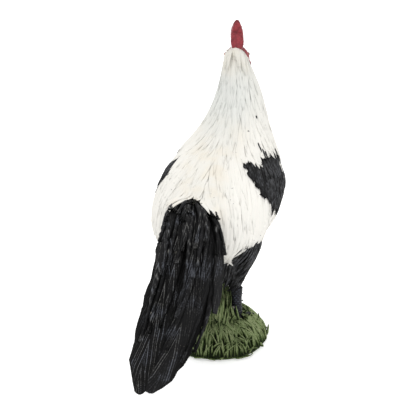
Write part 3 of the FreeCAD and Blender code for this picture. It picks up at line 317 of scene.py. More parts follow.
# %% [markdown]
# The grass has three greens: a nearly black green at the roots and in the hollows between blades,
# which is painted shade, olive on the blades, and a pale dry brush along the ridges and tips.


# %% Paint of the grass
def grass_paint():
    paint = Finish("painted_grass")
    ridge, tone = paint.marks("ridge", "tone")
    cloud = paint.speckle(5 * MM, 3.0)
    grain = paint.speckle(0.45 * MM, 4.0)
    # Painted shade: the nearly black green that fills the hollows and roots among the blades.
    painted_shade = paint.mix(tone, tint(16, 24, 8), tint(34, 44, 18))
    leaf = paint.mix((cloud + tone * 0.6 - 0.3).above(0.3, 0.7), tint(66, 86, 42), tint(98, 112, 68))
    pale = paint.mix(tone, tint(176, 184, 140), tint(146, 164, 116))
    colour = paint.mix((ridge + (grain - 0.5) * 0.3).above(0.12, 0.62), painted_shade, leaf)
    colour = paint.mix((ridge * 0.9 + grain * 0.6 - 0.3).above(0.34, 0.85) * 0.9, colour, pale)
    paint.bump(grain, 0.04 * MM, 0.6)
    return paint.coat(colour, 0.66 + (grain - 0.5) * 0.15, 0.1)


GRASS = grass_paint()

# %% [markdown]
# Comb, face and wattles are a cold red with darker flecks, and darker still in the hollows between
# their grains, which is painted shade. The lower legs are slate with a pale dry brush on each scale,
# which is also a painted highlight. Beak and spurs are horn that darkens or pales towards the tip, so
# they read `along`.


# %% Paints of comb, legs and horn
def red_paint():
    paint = Finish("painted_red_skin")
    (ridge,) = paint.marks("ridge")
    cloud = paint.speckle(2.2 * MM, 3.0)
    grain = paint.speckle(0.35 * MM, 4.0)
    red = paint.mix(cloud.above(0.35, 0.65), tint(128, 34, 42), tint(154, 50, 58))
    # Painted shade: a darker red in the hollows between the grains.
    painted_shade = paint.mix((1 - ridge).power(2.0) * 0.6, red, tint(92, 28, 34))
    flecks = paint.speckle(0.7 * MM, 4.0).above(0.62, 0.7)
    paint.bump(grain, 0.05 * MM, 0.6)
    return paint.coat(paint.mix(flecks * 0.55, painted_shade, tint(88, 30, 36)), 0.42 + grain * 0.12, 0.35)


def leg_paint():
    paint = Finish("painted_scales")
    (ridge,) = paint.marks("ridge")
    grain = paint.speckle(0.35 * MM, 4.0)
    cloud = paint.speckle(2.5 * MM, 2.0)
    slate = paint.mix(cloud, tint(14, 14, 16), tint(26, 27, 32))
    # A pale dry brush on the top of each scale, which is also a painted highlight.
    scale = (ridge * 0.7 + grain * 1.0 - 0.6).above(0.35, 0.85)
    paint.bump(grain, 0.04 * MM, 0.6)
    return paint.coat(paint.mix(scale * 0.6, slate, tint(112, 118, 134)), 0.46 + grain * 0.1, 0.2)


def horn_paint(name, root_colour, tip_colour, start):
    """Horn whose colour turns into the tip's from start, a share of the piece's length, onwards."""
    paint = Finish(name)
    grain = paint.speckle(0.5 * MM, 4.0)
    (along,) = paint.marks("along")
    paint.bump(grain, 0.03 * MM, 0.5)
    colour = paint.mix((along + (grain - 0.5) * 0.4).above(start, 1.0), root_colour, tip_colour)
    return paint.coat(colour, 0.36 + grain * 0.1)


RED = red_paint()
SLATE = leg_paint()
HORN = horn_paint("painted_beak", tint(196, 176, 132), tint(96, 82, 62), 0.1)
CLAW = horn_paint("painted_claw", tint(120, 116, 108), tint(58, 56, 54), 0.2)

# %% [markdown]
# An eye is a glossy bead: a black pupil, an amber iris and a red ring where it meets the face. On the
# eyes `ridge` is 1 where the bead looks straight out. The pins inside the figure are brushed steel, a
# noise that is stretched along the pin.


# %% Paint of the eyes and metal of the pins
def eye_paint():
    paint = Finish("painted_eye")
    (pupil,) = paint.marks("ridge")
    grain = paint.speckle(0.3 * MM, 3.0)
    iris = paint.mix(grain, tint(176, 92, 30), tint(206, 130, 48))
    ringed = paint.mix(pupil.above(0.5, 0.6), tint(116, 36, 40), iris)
    paint.shader.inputs["Coat Weight"].default_value = 0.8
    return paint.coat(paint.mix(pupil.above(0.82, 0.86), ringed, tint(12, 10, 10)), 0.12 + grain * 0.04)


def steel():
    paint = Finish("pin_steel")
    stretched = paint.node("ShaderNodeMapping", {}, {"Vector": paint.place, "Scale": (1.0, 1.0, 0.06)})
    grain = paint.speckle(0.08 * MM, 3.0, stretched)
    paint.shader.inputs["Metallic"].default_value = 1.0
    paint.bump(grain, 0.01 * MM, 0.4)
    return paint.coat(paint.mix(grain, tint(150, 152, 156), tint(196, 198, 200)), 0.28 + grain * 0.14)


EYE = eye_paint()
STEEL = steel()

# %% [markdown]
# ## The floor
#
# The photograph is cut out on white. A plain pale floor gives that look in a render, and it still
# catches the soft contact shadow that stops the figure from floating. A little glow, which only the
# camera and mirrors see, lifts the floor to white without lighting the figure.

# %% Floor
FLOOR_WIDTH = 8
FLOOR_DROP = 0.02 * MM
FLOOR_GLOW = 0.42
bpy.ops.object.select_all(action="DESELECT")
bpy.ops.mesh.primitive_plane_add(size=FLOOR_WIDTH, location=(0, 0, -FLOOR_DROP))
floor = bpy.context.active_object
floor.name = "floor"
backdrop = Finish("pale_floor")
haze = backdrop.speckle(0.4, 2.0)
backdrop.coat(backdrop.mix(haze, tint(252, 252, 252), tint(254, 254, 254)), 0.9, 0.0)
rays = backdrop.tree.nodes.new("ShaderNodeLightPath")
by_camera = Socket(backdrop, rays.outputs["Is Camera Ray"])
by_mirror = Socket(backdrop, rays.outputs["Is Glossy Ray"])
through_glass = Socket(backdrop, rays.outputs["Is Transmission Ray"])
seen = (by_camera + by_mirror + through_glass) * FLOOR_GLOW
glow = backdrop.node("ShaderNodeEmission", {}, {"Strength": seen})
paper = Socket(backdrop, backdrop.shader.outputs[0])
both = backdrop.node("ShaderNodeAddShader", {}, {0: paper, 1: glow})
backdrop.plug(both, backdrop.tree.nodes["Material Output"].inputs["Surface"])
floor.data.materials.append(backdrop.material)

# %% [markdown]
# ## Making a smooth casting from a CAD node
#
# The CAD castings have flat facets, as a block has after the first cuts. A sculptor would now round
# them. The Remesh modifier wraps a copy in a fresh skin of small even quads, and the Smooth modifier
# relaxes that skin until the facets are gone. The CAD node itself is never touched.


# %% Smooth copies and their surfaces
def points_of(obj, kind="co"):
    """The places of a mesh's points, or with kind normal their outward directions."""
    rows = np.zeros(len(obj.data.vertices) * 3)
    obj.data.vertices.foreach_get(kind, rows)
    return rows.reshape(-1, 3)


def faces_of(obj):
    return [tuple(polygon.vertices) for polygon in obj.data.polygons]


def press(obj, kind, **settings):
    """Adds a modifier and applies it."""
    bpy.ops.object.select_all(action="DESELECT")
    obj.select_set(True)
    bpy.context.view_layer.objects.active = obj
    modifier = obj.modifiers.new(kind.lower(), kind)
    for name, value in settings.items():
        setattr(modifier, name, value)
    bpy.ops.object.modifier_apply(modifier=modifier.name)


def wrapped(sources, voxel, relax):
    """Points, normals and faces of one smooth closed body round the CAD nodes named in sources."""
    copies = [bpy.data.objects.new("casting", nodes[source].data.copy()) for source in sources]
    bpy.ops.object.select_all(action="DESELECT")
    for copy in copies:
        bpy.context.scene.collection.objects.link(copy)
        copy.select_set(True)
    body = copies[0]
    bpy.context.view_layer.objects.active = body
    if len(copies) > 1:
        bpy.ops.object.join()
    bpy.ops.object.mode_set(mode="EDIT")
    bpy.ops.mesh.select_all(action="SELECT")
    bpy.ops.mesh.remove_doubles(threshold=0.002 * MM)
    bpy.ops.object.mode_set(mode="OBJECT")
    press(body, "REMESH", mode="VOXEL", voxel_size=voxel)
    press(body, "SMOOTH", factor=0.5, iterations=relax)
    numbers = points_of(body), points_of(body, "normal"), faces_of(body)
    bpy.data.objects.remove(body)
    return numbers


def skin_over(sources, voxel, relax):
    """The places on a smooth casting, and a search tree that finds the nearest place on it."""
    points, _, faces = wrapped(sources, voxel, relax)
    spots = [Vector(point) for point in points]
    return spots, BVHTree.FromPolygons(spots, faces)


# %% [markdown]
# All the castings of the bird's body together make one skin. The feathers are laid on this skin, so
# they run over the joints between the castings just as the sculptor's feathers do. The saddle's
# feathers end on the tail, so they lie on a skin that has the top of the tail but no legs.

# %% The bird's skin
WINGS = ["left_wing_bow", "right_wing_bow", "left_wing_flight", "right_wing_flight"]
THIGHS = ["left_thigh", "right_thigh"]
BODY_PARTS = ["torso", "neck_hackle", "saddle_cape"] + WINGS
TAIL_TOP = [
    "tail_core",
    "root_covert_left",
    "root_covert_middle",
    "root_covert_right",
    "tail_covert_left_outer",
    "tail_covert_middle",
    "tail_covert_right_inner",
    "tail_covert_right_outer",
]
skin_spots, skin = skin_over(BODY_PARTS + THIGHS, 0.6 * MM, 44)
_, rump = skin_over(BODY_PARTS + TAIL_TOP, 0.6 * MM, 36)
_, tail_top = skin_over(TAIL_TOP, 0.5 * MM, 6)
print("skin:", len(skin_spots), "points")

# %% [markdown]
# ## One feather
#
# A feather is modelled once, flat and one unit long: a small grid, each row pinched to the feather's
# width, each column lifted to make ribs. Bridging its two long edges closes it underneath. It is then
# copied many times and every copy is bent along the skin.


# %% Feather patterns
class Pattern:
    """A piece modelled once at unit size: x across, y from root to tip, z up."""

    def __init__(self, obj):
        self.points = points_of(obj)
        self.faces = faces_of(obj)
        self.ridge = np.clip(self.points[:, 2] / self.points[:, 2].max(), 0, 1)
        bpy.data.objects.remove(obj)


def flat_grid(columns, rows):
    """A flat grid, one unit wide and long, round the origin."""
    bpy.ops.object.select_all(action="DESELECT")
    bpy.ops.mesh.primitive_grid_add(x_subdivisions=columns, y_subdivisions=rows, size=1, location=(0, 0, 0))
    return bpy.context.active_object


def feather_pattern(ribs, widths, heights):
    """A closed blade: ribs lift its columns, widths pinch its rows and heights flatten them."""
    blade = flat_grid(len(ribs) - 1, len(widths) - 1)
    columns = sorted({round(v.co.x, 4) for v in blade.data.vertices})
    rows = sorted({round(v.co.y, 4) for v in blade.data.vertices})
    rims = {v.index for v in blade.data.vertices if round(v.co.x, 4) in (columns[0], columns[-1])}
    long_edges = [edge.index for edge in blade.data.edges if rims.issuperset(edge.vertices)]

    def pick(axis, value):
        bpy.ops.mesh.select_all(action="DESELECT")
        bpy.ops.object.mode_set(mode="OBJECT")
        for v in blade.data.vertices:
            v.select = abs(v.co[axis] - value) < 0.001
        bpy.ops.object.mode_set(mode="EDIT")

    bpy.ops.object.mode_set(mode="EDIT")
    bpy.ops.mesh.select_mode(type="VERT")
    for x, rib in zip(columns, ribs):
        pick(0, x)
        bpy.ops.transform.translate(value=(0, 0, rib))
    for y, width, height in zip(rows, widths, heights):
        pick(1, y)
        bpy.ops.transform.resize(value=(width, 1, height), center_override=(0, y, 0))
    bpy.ops.mesh.select_mode(type="EDGE")
    bpy.ops.mesh.select_all(action="DESELECT")
    bpy.ops.object.mode_set(mode="OBJECT")
    for number in long_edges:
        blade.data.edges[number].select = True
    bpy.ops.object.mode_set(mode="EDIT")
    bpy.ops.mesh.bridge_edge_loops()
    bpy.ops.mesh.select_all(action="SELECT")
    bpy.ops.mesh.fill_holes(sides=0)
    bpy.ops.mesh.select_all(action="SELECT")
    bpy.ops.mesh.normals_make_consistent(inside=False)
    bpy.ops.transform.translate(value=(0, 0.5, 0))
    bpy.ops.object.mode_set(mode="OBJECT")
    return Pattern(blade)


HACKLE = feather_pattern(
    ribs=(0.0, 0.55, 0.35, 1.0, 0.35, 0.55, 0.0),
    widths=(0.45, 0.8, 1.0, 1.0, 0.92, 0.76, 0.5, 0.06),
    heights=(0.5, 0.9, 1.0, 1.0, 0.95, 0.85, 0.7, 0.3),
)
HAIR = feather_pattern(
    ribs=(0.0, 0.7, 1.0, 0.7, 0.0),
    widths=(0.5, 0.9, 1.0, 0.85, 0.6, 0.08),
    heights=(0.5, 1.0, 1.0, 0.9, 0.75, 0.3),
)
print("faces of a hackle:", len(HACKLE.faces), "and of a hair:", len(HAIR.faces))

# %% [markdown]
# ## Laying feathers
#
# A feather follows a line that runs over the skin: from its root it takes small steps in the direction
# in which feathers lie there, and after each step it drops back onto the skin. Where the skin turns
# away under it, the line goes straight on for a little, as a loose tip does.

# %% Walk over a skin
STRIDE = 0.9 * MM
LOST_SHARE = 0.45
DROOP_SHARE = 0.12
ZONE_SHARE = 0.35
NEAR_TAIL = 0.7 * MM
LINE_STEPS = 8


def unit(rows):
    return rows / np.linalg.norm(rows, axis=-1, keepdims=True)


def walk(surface, start, flow, length, turn, spare=2.4 * MM, zone=None, stop=None):
    """Places, normals and headings of a line over the surface.

    Where the skin turns away under it, the tail begins or a zone ends, the line goes on only for spare.
    A line that may climb onto the tail has a stop of its own, which says where it ends there.
    """
    spot, normal, _, _ = surface.find_nearest(start)
    heading = None
    gone, loose = 0.0, 0.0
    inside = zone(start) if zone else False
    rows = []
    while True:
        way = flow(spot)
        way = way - normal * way.dot(normal)
        if way.length < 1e-9:
            way = heading or Vector((0, 1, 0))
        way.normalize()
        way.rotate(Quaternion(normal, turn))
        heading = way if heading is None else (heading + way).normalized()
        rows.append([gone, *spot, *normal, *heading])
        if gone >= length or loose >= spare:
            break
        ahead = spot + heading * STRIDE
        found, fresh, _, away = surface.find_nearest(ahead)
        lost = away > LOST_SHARE * STRIDE
        if lost:
            spot = ahead - normal * DROOP_SHARE * STRIDE
            loose += STRIDE
        else:
            spot = found
            normal = (normal + fresh).normalized()
        on_tail = not lost and tail_top.find_nearest(found)[3] < NEAR_TAIL
        if on_tail and stop:
            loose = spare if stop(found) else loose
        elif on_tail:
            loose += STRIDE
        elif zone and zone(spot) != inside:
            loose += max(STRIDE, spare * ZONE_SHARE)
        gone += STRIDE
    rows = np.array(rows)
    marks = np.linspace(0, rows[-1, 0], LINE_STEPS + 1)
    even = np.stack([np.interp(marks, rows[:, 0], rows[:, n]) for n in range(1, 10)], axis=1)
    return even[:, :3], unit(even[:, 3:6]), unit(even[:, 6:9])


def free_line(root, up, lean, length):
    """A blade's line that starts along up, bows towards lean and shows its face to the outside."""
    share = np.linspace(0, 1, LINE_STEPS + 1)[:, None]
    places = np.array(root) + (np.array(up) * share + np.array(lean) * share**2) * length
    headings = unit(np.array(up) + 2 * np.array(lean) * share)
    out = np.array((root[0] * 0.6, root[1] * 0.8 + 2 * MM, 0.4 * MM))
    normals = unit(out - headings * (headings @ out)[:, None])
    return places, normals, headings


# %% [markdown]
# The pattern is then bent along that line. Its root is sunk a little and its tip stands a little proud,
# so each row covers the roots of the next, like shingles. A coat collects all the feathers of a casting
# and makes one mesh of them, because thousands of small objects would be slow and hard to handle.


# %% Bend a pattern and collect a coat
def bend(pattern, line, width, thickness, sink, rise):
    """The pattern's points along the line, its root sunk and its tip raised."""
    places, normals, headings = line
    steps = len(places) - 1
    along = pattern.points[:, 1].clip(0, 1)
    low = np.minimum((along * steps).astype(int), steps - 1)
    share = (along * steps - low)[:, None]

    def between(rows):
        return rows[low] * (1 - share) + rows[low + 1] * share

    across = np.cross(headings, normals)
    lift = (-sink + (sink + rise) * along**1.4 + pattern.points[:, 2] * thickness)[:, None]
    return between(places) + between(across) * (pattern.points[:, :1] * width) + between(normals) * lift


class Coat:
    """Collects bodies and feathers and makes one mesh of them, with its marks."""

    def __init__(self):
        self.points, self.faces, self.marks = [], [], {"ridge": [], "tone": [], "black": [], "along": []}
        self.count = 0

    def add(self, points, faces, ridge, tone, black, along=0.0):
        self.points.append(points)
        self.faces += [tuple(n + self.count for n in face) for face in faces]
        for parts, value in zip(self.marks.values(), (ridge, tone, black, along)):
            parts.append(np.broadcast_to(np.asarray(value, float), (len(points),)))
        self.count += len(points)

    def lay(self, pattern, points, tone, black, ridge=None):
        """Adds one bent copy of a pattern."""
        self.add(points, pattern.faces, pattern.ridge if ridge is None else ridge, tone, black)

    def build(self, name, finish, slot, *replaced):
        mesh = bpy.data.meshes.new(name)
        mesh.from_pydata(np.concatenate(self.points).tolist(), [], self.faces)
        for mark, parts in self.marks.items():
            layer = mesh.attributes.new(mark, "FLOAT", "POINT")
            layer.data.foreach_set("value", np.concatenate(parts).astype(np.float32))
        mesh.polygons.foreach_set("use_smooth", [True] * len(mesh.polygons))
        mesh.materials.append(finish)
        piece = bpy.data.objects.new(name, mesh)
        bpy.context.scene.collection.objects.link(piece)
        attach(piece, "root")
        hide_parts(*replaced)
        print(name, sum(len(p.vertices) - 2 for p in mesh.polygons), "triangles")


# %% [markdown]
# Roots are scattered evenly: places on the skin are taken in a shuffled order, and one is kept only if
# no kept root is too near. This gives the irregular rows of a hand-cut coat. Each place belongs to the
# casting that is nearest to it.

# %% Scatter roots over the skin
CELL = 3 * MM
casting_surfaces = {
    name: BVHTree.FromPolygons([v.co.copy() for v in nodes[name].data.vertices], faces_of(nodes[name]))
    for name in BODY_PARTS + THIGHS
}


def distance_to(name, spot):
    return casting_surfaces[name].find_nearest(spot)[3]


def scatter(spots, gap_at, seed):
    """Keeps spots that are at least gap_at(spot) from every kept one."""
    order = list(range(len(spots)))
    random.Random(seed).shuffle(order)
    kept, grid = [], {}
    for n in order:
        spot = spots[n]
        gap = gap_at(spot)
        key = tuple(int(math.floor(v / CELL)) for v in spot)
        around = (tuple(a + b for a, b in zip(key, step)) for step in product((-1, 0, 1), repeat=3))
        if not any((other - spot).length < gap for cell in around for other in grid.get(cell, ())):
            kept.append(spot)
            grid.setdefault(key, []).append(spot)
    return kept


home = [min(casting_surfaces, key=lambda name: distance_to(name, spot)) for spot in skin_spots]
print({name: home.count(name) for name in casting_surfaces})

# %% [markdown]
# ## The cape, the saddle and the wings
#
# On the real figure the white cape runs in fine parallel strands from the crown to the shoulders. The
# saddle hackles fall from the back over both flanks and gather in a pointed tuft on each side. Short
# black feathers cover the shoulders. Each casting gets its own coat, but neighbours share one flow, so
# that no seam shows between them.

# %% The flow of the plumage
CROWN = Vector((-0.8, -21.5, 84)) * MM
TUFTS = [Vector((side * 8.6, 21, 16)) * MM for side in (-1, 1)]


def down_the_neck(spot):
    return (spot - CROWN).normalized() + Vector((0, 0.2, -0.5))


def over_the_back(spot):
    tuft = TUFTS[0] if spot.x < 0 else TUFTS[1]
    return Vector((0, 0.4, -0.9)) + (tuft - spot).normalized() * 0.6


def along_the_flank(spot):
    return Vector((0, 0.8, -0.62))


def down_the_shoulder(spot):
    return Vector((0, 0.75, -0.6))


def down_the_thigh(spot):
    return Vector((-0.3 if spot.x > 0 else 0.3, 0.55, -1))


def along_neck(spot):
    """0 at the crown, 1 at the hem of the cape, smooth between."""
    near, far = 2 * MM, 34 * MM
    share = min(1.0, max(0.0, ((spot - CROWN).length - near) / (far - near)))
    return share * share * (3 - 2 * share)


# %% [markdown]
# The painter gave the bird a black shoulder patch, a black breast and belly and black thighs. The patch
# is one outline seen from the side. Cloudy noise moves each place before it is looked up, which frays
# the edge as single feathers do. Whole feathers are black or white: none is cut by the outline.

# %% Where the black lies
PATCH = (
    (-19, 50),
    (-12, 55),
    (-4, 56.8),
    (-1, 54.6),
    (2.7, 56.8),
    (6.1, 54.0),
    (8, 51),
    (6.4, 49.6),
    (6.8, 46.5),
    (1, 42.4),
    (-4.5, 39.8),
    (-12, 41),
    (-19, 44),
)
LEFT_SHIFT = (1.6, 1.2)
FRAY_ALONG, FRAY_UP = (2.2, 2.6 * MM), (3.0, 1.9 * MM)


def in_patch(spot):
    """Whether a place is in the outline, whose corners are (y, z) in mm."""
    y, z = spot[1] / MM, spot[2] / MM
    if spot[0] > 0:
        y, z = y + LEFT_SHIFT[0], z + LEFT_SHIFT[1]
    y += FRAY_ALONG[0] * noise.noise(Vector(spot) / FRAY_ALONG[1])
    z += FRAY_UP[0] * noise.noise(Vector(spot) / FRAY_UP[1] + Vector((7, 0, 0)))
    inside = False
    for (y0, z0), (y1, z1) in zip(PATCH, PATCH[1:] + PATCH[:1]):
        if (z0 > z) != (z1 > z) and y < y0 + (y1 - y0) * (z - z0) / (z1 - z0):
            inside = not inside
    return inside and abs(spot[0]) > 7 * MM


def field(spot):
    """Which of the painter's fields a spot lies in: in or out of the patch, on or below the white cape."""
    on_cape = min(distance_to(name, spot) for name in WINGS + ["saddle_cape", "neck_hackle"]) < 0.5 * MM
    return in_patch(spot), on_cape


def blackness(name, root, dice):
    """Whether the feather that starts at root is black."""
    if name.endswith("thigh"):
        return 1.0
    if name == "torso":
        breast = root[1] < -14 * MM and root[2] < 50 * MM
        return float(root[2] < 41 * MM or breast or in_patch(root))
    if name == "neck_hackle":
        near_patch = -13 * MM < root[1] < 0 and root[2] < 58 * MM and abs(root[0]) > 9 * MM
        chance = 0.98 if in_patch(root) else 0.2 if near_patch else 0.0
        return float(dice.random() < chance)
    return float(in_patch(root))


print("places in the patches:", sum(in_patch(spot) for spot in skin_spots), "of", len(skin_spots))

# %% [markdown]
# Each kind of feather has its gap, length and width in mm. On the neck they grow from the crown to the
# hem. A feather ends soon after its field does, so that no white tip lies across the patch. Those of
# the saddle end on the tail in a ragged arch, high in the middle and low at the sides.

# %% The coat of one casting
PLUMES = {
    "neck_hackle": dict(flow=down_the_neck, gap=(0.85, 1.4), length=(8, 19), width=(0.95, 1.7)),
    "saddle_cape": dict(flow=over_the_back, gap=1.4, length=17, width=1.75, zone=field),
    "wing_bow": dict(flow=down_the_shoulder, gap=1.1, length=4.5, width=1.5, zone=field, slot="black_paint"),
    "wing_flight": dict(flow=along_the_flank, gap=1.5, length=12, width=1.8, zone=field),
    "torso": dict(flow=along_the_flank, gap=1.7, length=6, width=2.2, slot="black_paint"),
    "thigh": dict(flow=down_the_thigh, gap=0.95, length=5, width=1.0, slot="black_paint", pattern=HAIR),
}
CORE_DEPTH, CORE_VOXEL, CORE_RELAX = 0.22 * MM, 0.5 * MM, 6
COAT_THICKNESS = 0.24 * MM
ARCH_TOP = 19.4


def over_tail(slack):
    """Says where a saddle feather has reached the arch, moved out by slack, in mm."""

    def stop(spot):
        x, y = spot[0] / MM, spot[1] / MM
        return y > ARCH_TOP + max(0.7 * (x - 2.5), -1.5 * x, 0) + slack

    return stop


def sunk_core(source, surface):
    """A smooth copy of a casting that stays a little below the given skin."""
    spots, _, faces = wrapped([source], CORE_VOXEL, CORE_RELAX)
    for n, spot in enumerate(spots):
        place, normal, _, _ = surface.find_nearest(Vector(spot))
        if -CORE_DEPTH < (Vector(spot) - place).dot(normal) < 3 * MM:
            spots[n] = place - normal * CORE_DEPTH
    return spots, faces


def coat_of(name, plumes, seed):
    neck, saddle, thigh = name == "neck_hackle", name == "saddle_cape", name in THIGHS
    surface = rump if saddle else skin
    pattern = plumes.get("pattern", HACKLE)

    def sized(kind, spot):
        if not neck:
            return plumes[kind] * MM
        first, last = plumes[kind]
        return (first + (last - first) * along_neck(spot)) * MM

    coat = Coat()
    core, core_faces = sunk_core(name, surface)
    # The low ridge mark gives the core that shows between the feathers the grooves' painted shade.
    coat.add(core, core_faces, 0.15, 0.4, [blackness(name, spot, random.Random(seed)) for spot in core])
    own = [spot for spot, casting_name in zip(skin_spots, home) if casting_name == name]
    roots = scatter(own, lambda spot: sized("gap", spot), seed)
    dice = random.Random(seed)
    for root in roots:
        length = sized("length", root) * dice.uniform(0.8, 1.15)
        width = sized("width", root) * dice.uniform(0.85, 1.15)
        spare = dice.uniform(1.5, 5) * MM * along_neck(root) if neck else dice.uniform(0.3, 1.8) * MM
        spare += 1.5 * MM if thigh else 0
        stop = over_tail(dice.choice((-0.8, -0.3, 0.2, 0.7, 1.2, 2.4, 4.5))) if saddle else None
        zone = plumes.get("zone", in_patch)
        line = walk(surface, root, plumes["flow"], length, dice.gauss(0, 0.04), spare, zone, stop)
        curls_up = line[2][:, 2].max() > -0.35
        if saddle and root.z < 39 * MM and curls_up:
            continue
        paint = blackness(name, root, dice)
        points = bend(pattern, line, width, COAT_THICKNESS, COAT_THICKNESS, dice.uniform(0.04, 0.16) * MM)
        coat.lay(pattern, points, dice.random(), paint)
    print(name, len(roots), "feathers")
    return coat


# %% [markdown]
# Three details are laid by themselves. Short feathers rise behind the comb and fall back over the nape.
# A few strokes of black missed the patch and lie on the white above it, and since the photograph shows
# each one, each has its own place. Loose black fluff hangs from the rear of the belly.

# %% Crown, strokes and fluff
SLIVERS = (
    ((-10.0, -6.6, 58.4), 1.7, 0.6),
    ((-10.6, -6.0, 57.4), 1.0, 0.5),
    ((-11.3, -6.2, 56.8), 3.4, 0.7),
    ((-12.1, -6.4, 56.2), 2.4, 0.6),
    ((-13.6, -12.4, 55.2), 4.2, 0.7),
    ((-14.6, -12.6, 53.4), 2.6, 0.7),
    ((-8.0, -12.5, 64.4), 0.8, 0.6),
)
CROWN_FEATHERS = 22
FLUFF_REAR = {"torso": -3 * MM, "right_thigh": -5 * MM}


def black_slivers(coat):
    """Narrow strokes of black: each has a start, a length and a width in mm."""
    for spot, length, width in SLIVERS:
        line = walk(skin, Vector(spot) * MM, down_the_neck, length * MM, 0.0)
        coat.lay(HAIR, bend(HAIR, line, width * MM, 0.2 * MM, -0.15 * MM, 0.2 * MM), 0.3, 1.0)


def crown_feathers(coat, seed):
    dice = random.Random(seed)
    low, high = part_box("comb")
    half = (CROWN_FEATHERS - 1) / 2
    for number in range(CROWN_FEATHERS):
        side = (number - half) / half
        rear = high[1] - 1.0 * MM - abs(side) * 1.2 * MM
        root = np.array((-0.9 * MM + side * 1.8 * MM, rear, low[2] + (3.3 - 2.2 * side**2) * MM))
        up = np.array((side * 0.32 + dice.gauss(0, 0.06), 0.42, -0.6))
        lean = (0.0, dice.uniform(-0.9, -0.15), -0.5)
        places, _, headings = free_line(root, up, lean, dice.uniform(4.0, 7.0) * MM)
        over = np.array((side * 0.5, 1.0, 0.6))
        normals = unit(over - headings * (headings @ over)[:, None])
        width = dice.uniform(0.8, 1.1) * MM
        points = bend(HACKLE, (places, normals, headings), width, 0.3 * MM, 0.1 * MM, 0.0)
        coat.lay(HACKLE, points, dice.random(), 0.0)


def hang_fluff(coat, seed):
    dice = random.Random(seed)
    low = [
        spot
        for spot, name in zip(skin_spots, home)
        if spot.z < 31 * MM and -7 * MM < spot.x < 5 * MM and name in FLUFF_REAR and spot.y > FLUFF_REAR[name]
    ]
    print("fluff:", len(low), "places")
    for root in scatter(low, lambda spot: 0.9 * MM, seed):
        way = np.array((0.1 - root.x * 40 + dice.gauss(0, 0.1), -0.12 + dice.gauss(0, 0.1), -1.0))
        raised = np.array(root) + np.array((0, 0, 1.2 * MM))
        length = dice.uniform(0.6, 1.0) * min(9.5 * MM, max(3.2 * MM, root.z - 16.5 * MM))
        line = free_line(raised, way, (0.0, 0.1, 0.0), length)
        points = bend(HAIR, line, dice.uniform(1.0, 1.7) * MM, 0.5 * MM, 0.1 * MM, 0.1 * MM)
        # The ridge mark is lowered, so the fluff under the belly gets less grey brush: a painted shade.
        coat.lay(HAIR, points, dice.random(), 1.0, HAIR.ridge * 0.8)


# %% Lay every coat
for seed, name in enumerate(BODY_PARTS + THIGHS):
    plumes = PLUMES[name] if name in PLUMES else PLUMES[name.split("_", 1)[1]]
    coat = coat_of(name, plumes, seed + 10)
    if name == "torso":
        hang_fluff(coat, 3)
    if name == "neck_hackle":
        crown_feathers(coat, 4)
        black_slivers(coat)
    coat.build(name + "_plumage", PLUMAGE, plumes.get("slot", "white_paint"), name)

# %% [markdown]
# ## The tail
#
# The tail is what makes this figure hard to model. Thirteen long feathers lie in layers on one arched
# bed that rises from the back, turns over and droops to the ground. All of them are placed in the bed's
# own coordinates: how far along it, how far to one side and how high above it. So a feather can be
# drawn flat and straight, and the bed gives it its arch, its sweep and its droop.

# %% The bed of the tail
ROOT = np.array((4.6, 16.0, 44.8)) * MM
REACH, RISE, SWEEP, FALL = 28 * MM, 7 * MM, 5.4 * MM, 42.8 * MM
TAIL_WIDTH, TAIL_ARCH = 19.4 * MM, 3.2 * MM
LIFT_POINT = ROOT + np.array((-SWEEP * 0.5, REACH * 0.42, RISE))
TURN_POINT = ROOT + np.array((-SWEEP * 2, REACH * 1.1, -FALL * 0.12))
TIP_POINT = ROOT + np.array((SWEEP, REACH, -FALL))
BED_WIDTH = (
    (-0.1, 0.36),
    (0, 0.38),
    (0.12, 0.52),
    (0.3, 0.8),
    (0.55, 0.94),
    (0.75, 0.97),
    (0.86, 0.92),
    (0.94, 0.74),
    (1, 0.32),
)


def read(table, where):
    return np.interp(where, [row[0] for row in table], [row[1] for row in table])


def bed_point(t, u, height):
    """t along the tail, u from -1 to 1 across it, height above the bed."""
    t, u, height = (np.asarray(v, float)[..., None] for v in np.broadcast_arrays(t, u, height))
    inside = np.clip(t, 0, 1)
    rest = 1 - inside
    middle = (
        ROOT * rest**3
        + LIFT_POINT * 3 * rest**2 * inside
        + TURN_POINT * 3 * rest * inside**2
        + TIP_POINT * inside**3
    )
    slope = (
        (LIFT_POINT - ROOT) * 3 * rest**2
        + (TURN_POINT - LIFT_POINT) * 6 * rest * inside
        + (TIP_POINT - TURN_POINT) * 3 * inside**2
    )
    middle = middle + slope * (t - inside)
    slope = unit(slope)
    across = unit(np.array((1.0, 0, 0)) - slope * slope[..., :1])
    outward = np.cross(across, slope)
    width = read(BED_WIDTH, t)
    drop = TAIL_ARCH * width * u**2
    tilt = 4 * TAIL_ARCH * u / TAIL_WIDTH
    normal = unit(outward + across * tilt)
    return middle + across * (TAIL_WIDTH / 2 * width * u) - outward * drop + normal * height


print("tail from", bed_point(0, 0, 0).round(4), "to", bed_point(1, 0, 0).round(4))

# %% [markdown]
# A tail feather starts as a flat grid, as long and wide as the feather. A quill runs down its middle,
# and strands of barbs sweep back from the quill at a small angle, with valleys between them that get
# painted shade. Now and then the strands part at the edge and leave a notch. The Solidify modifier
# gives it thickness.
# The strands are real relief, because from the side they break up the feather's outline.

# %% Notches and strands
STRAND_PITCH, STRAND_RUN = 0.5 * MM, 3.0 * MM
STRAND_COUNT = 97
NOTCH_SPACING, NOTCH_LENGTH = 7 * MM, 2.6 * MM


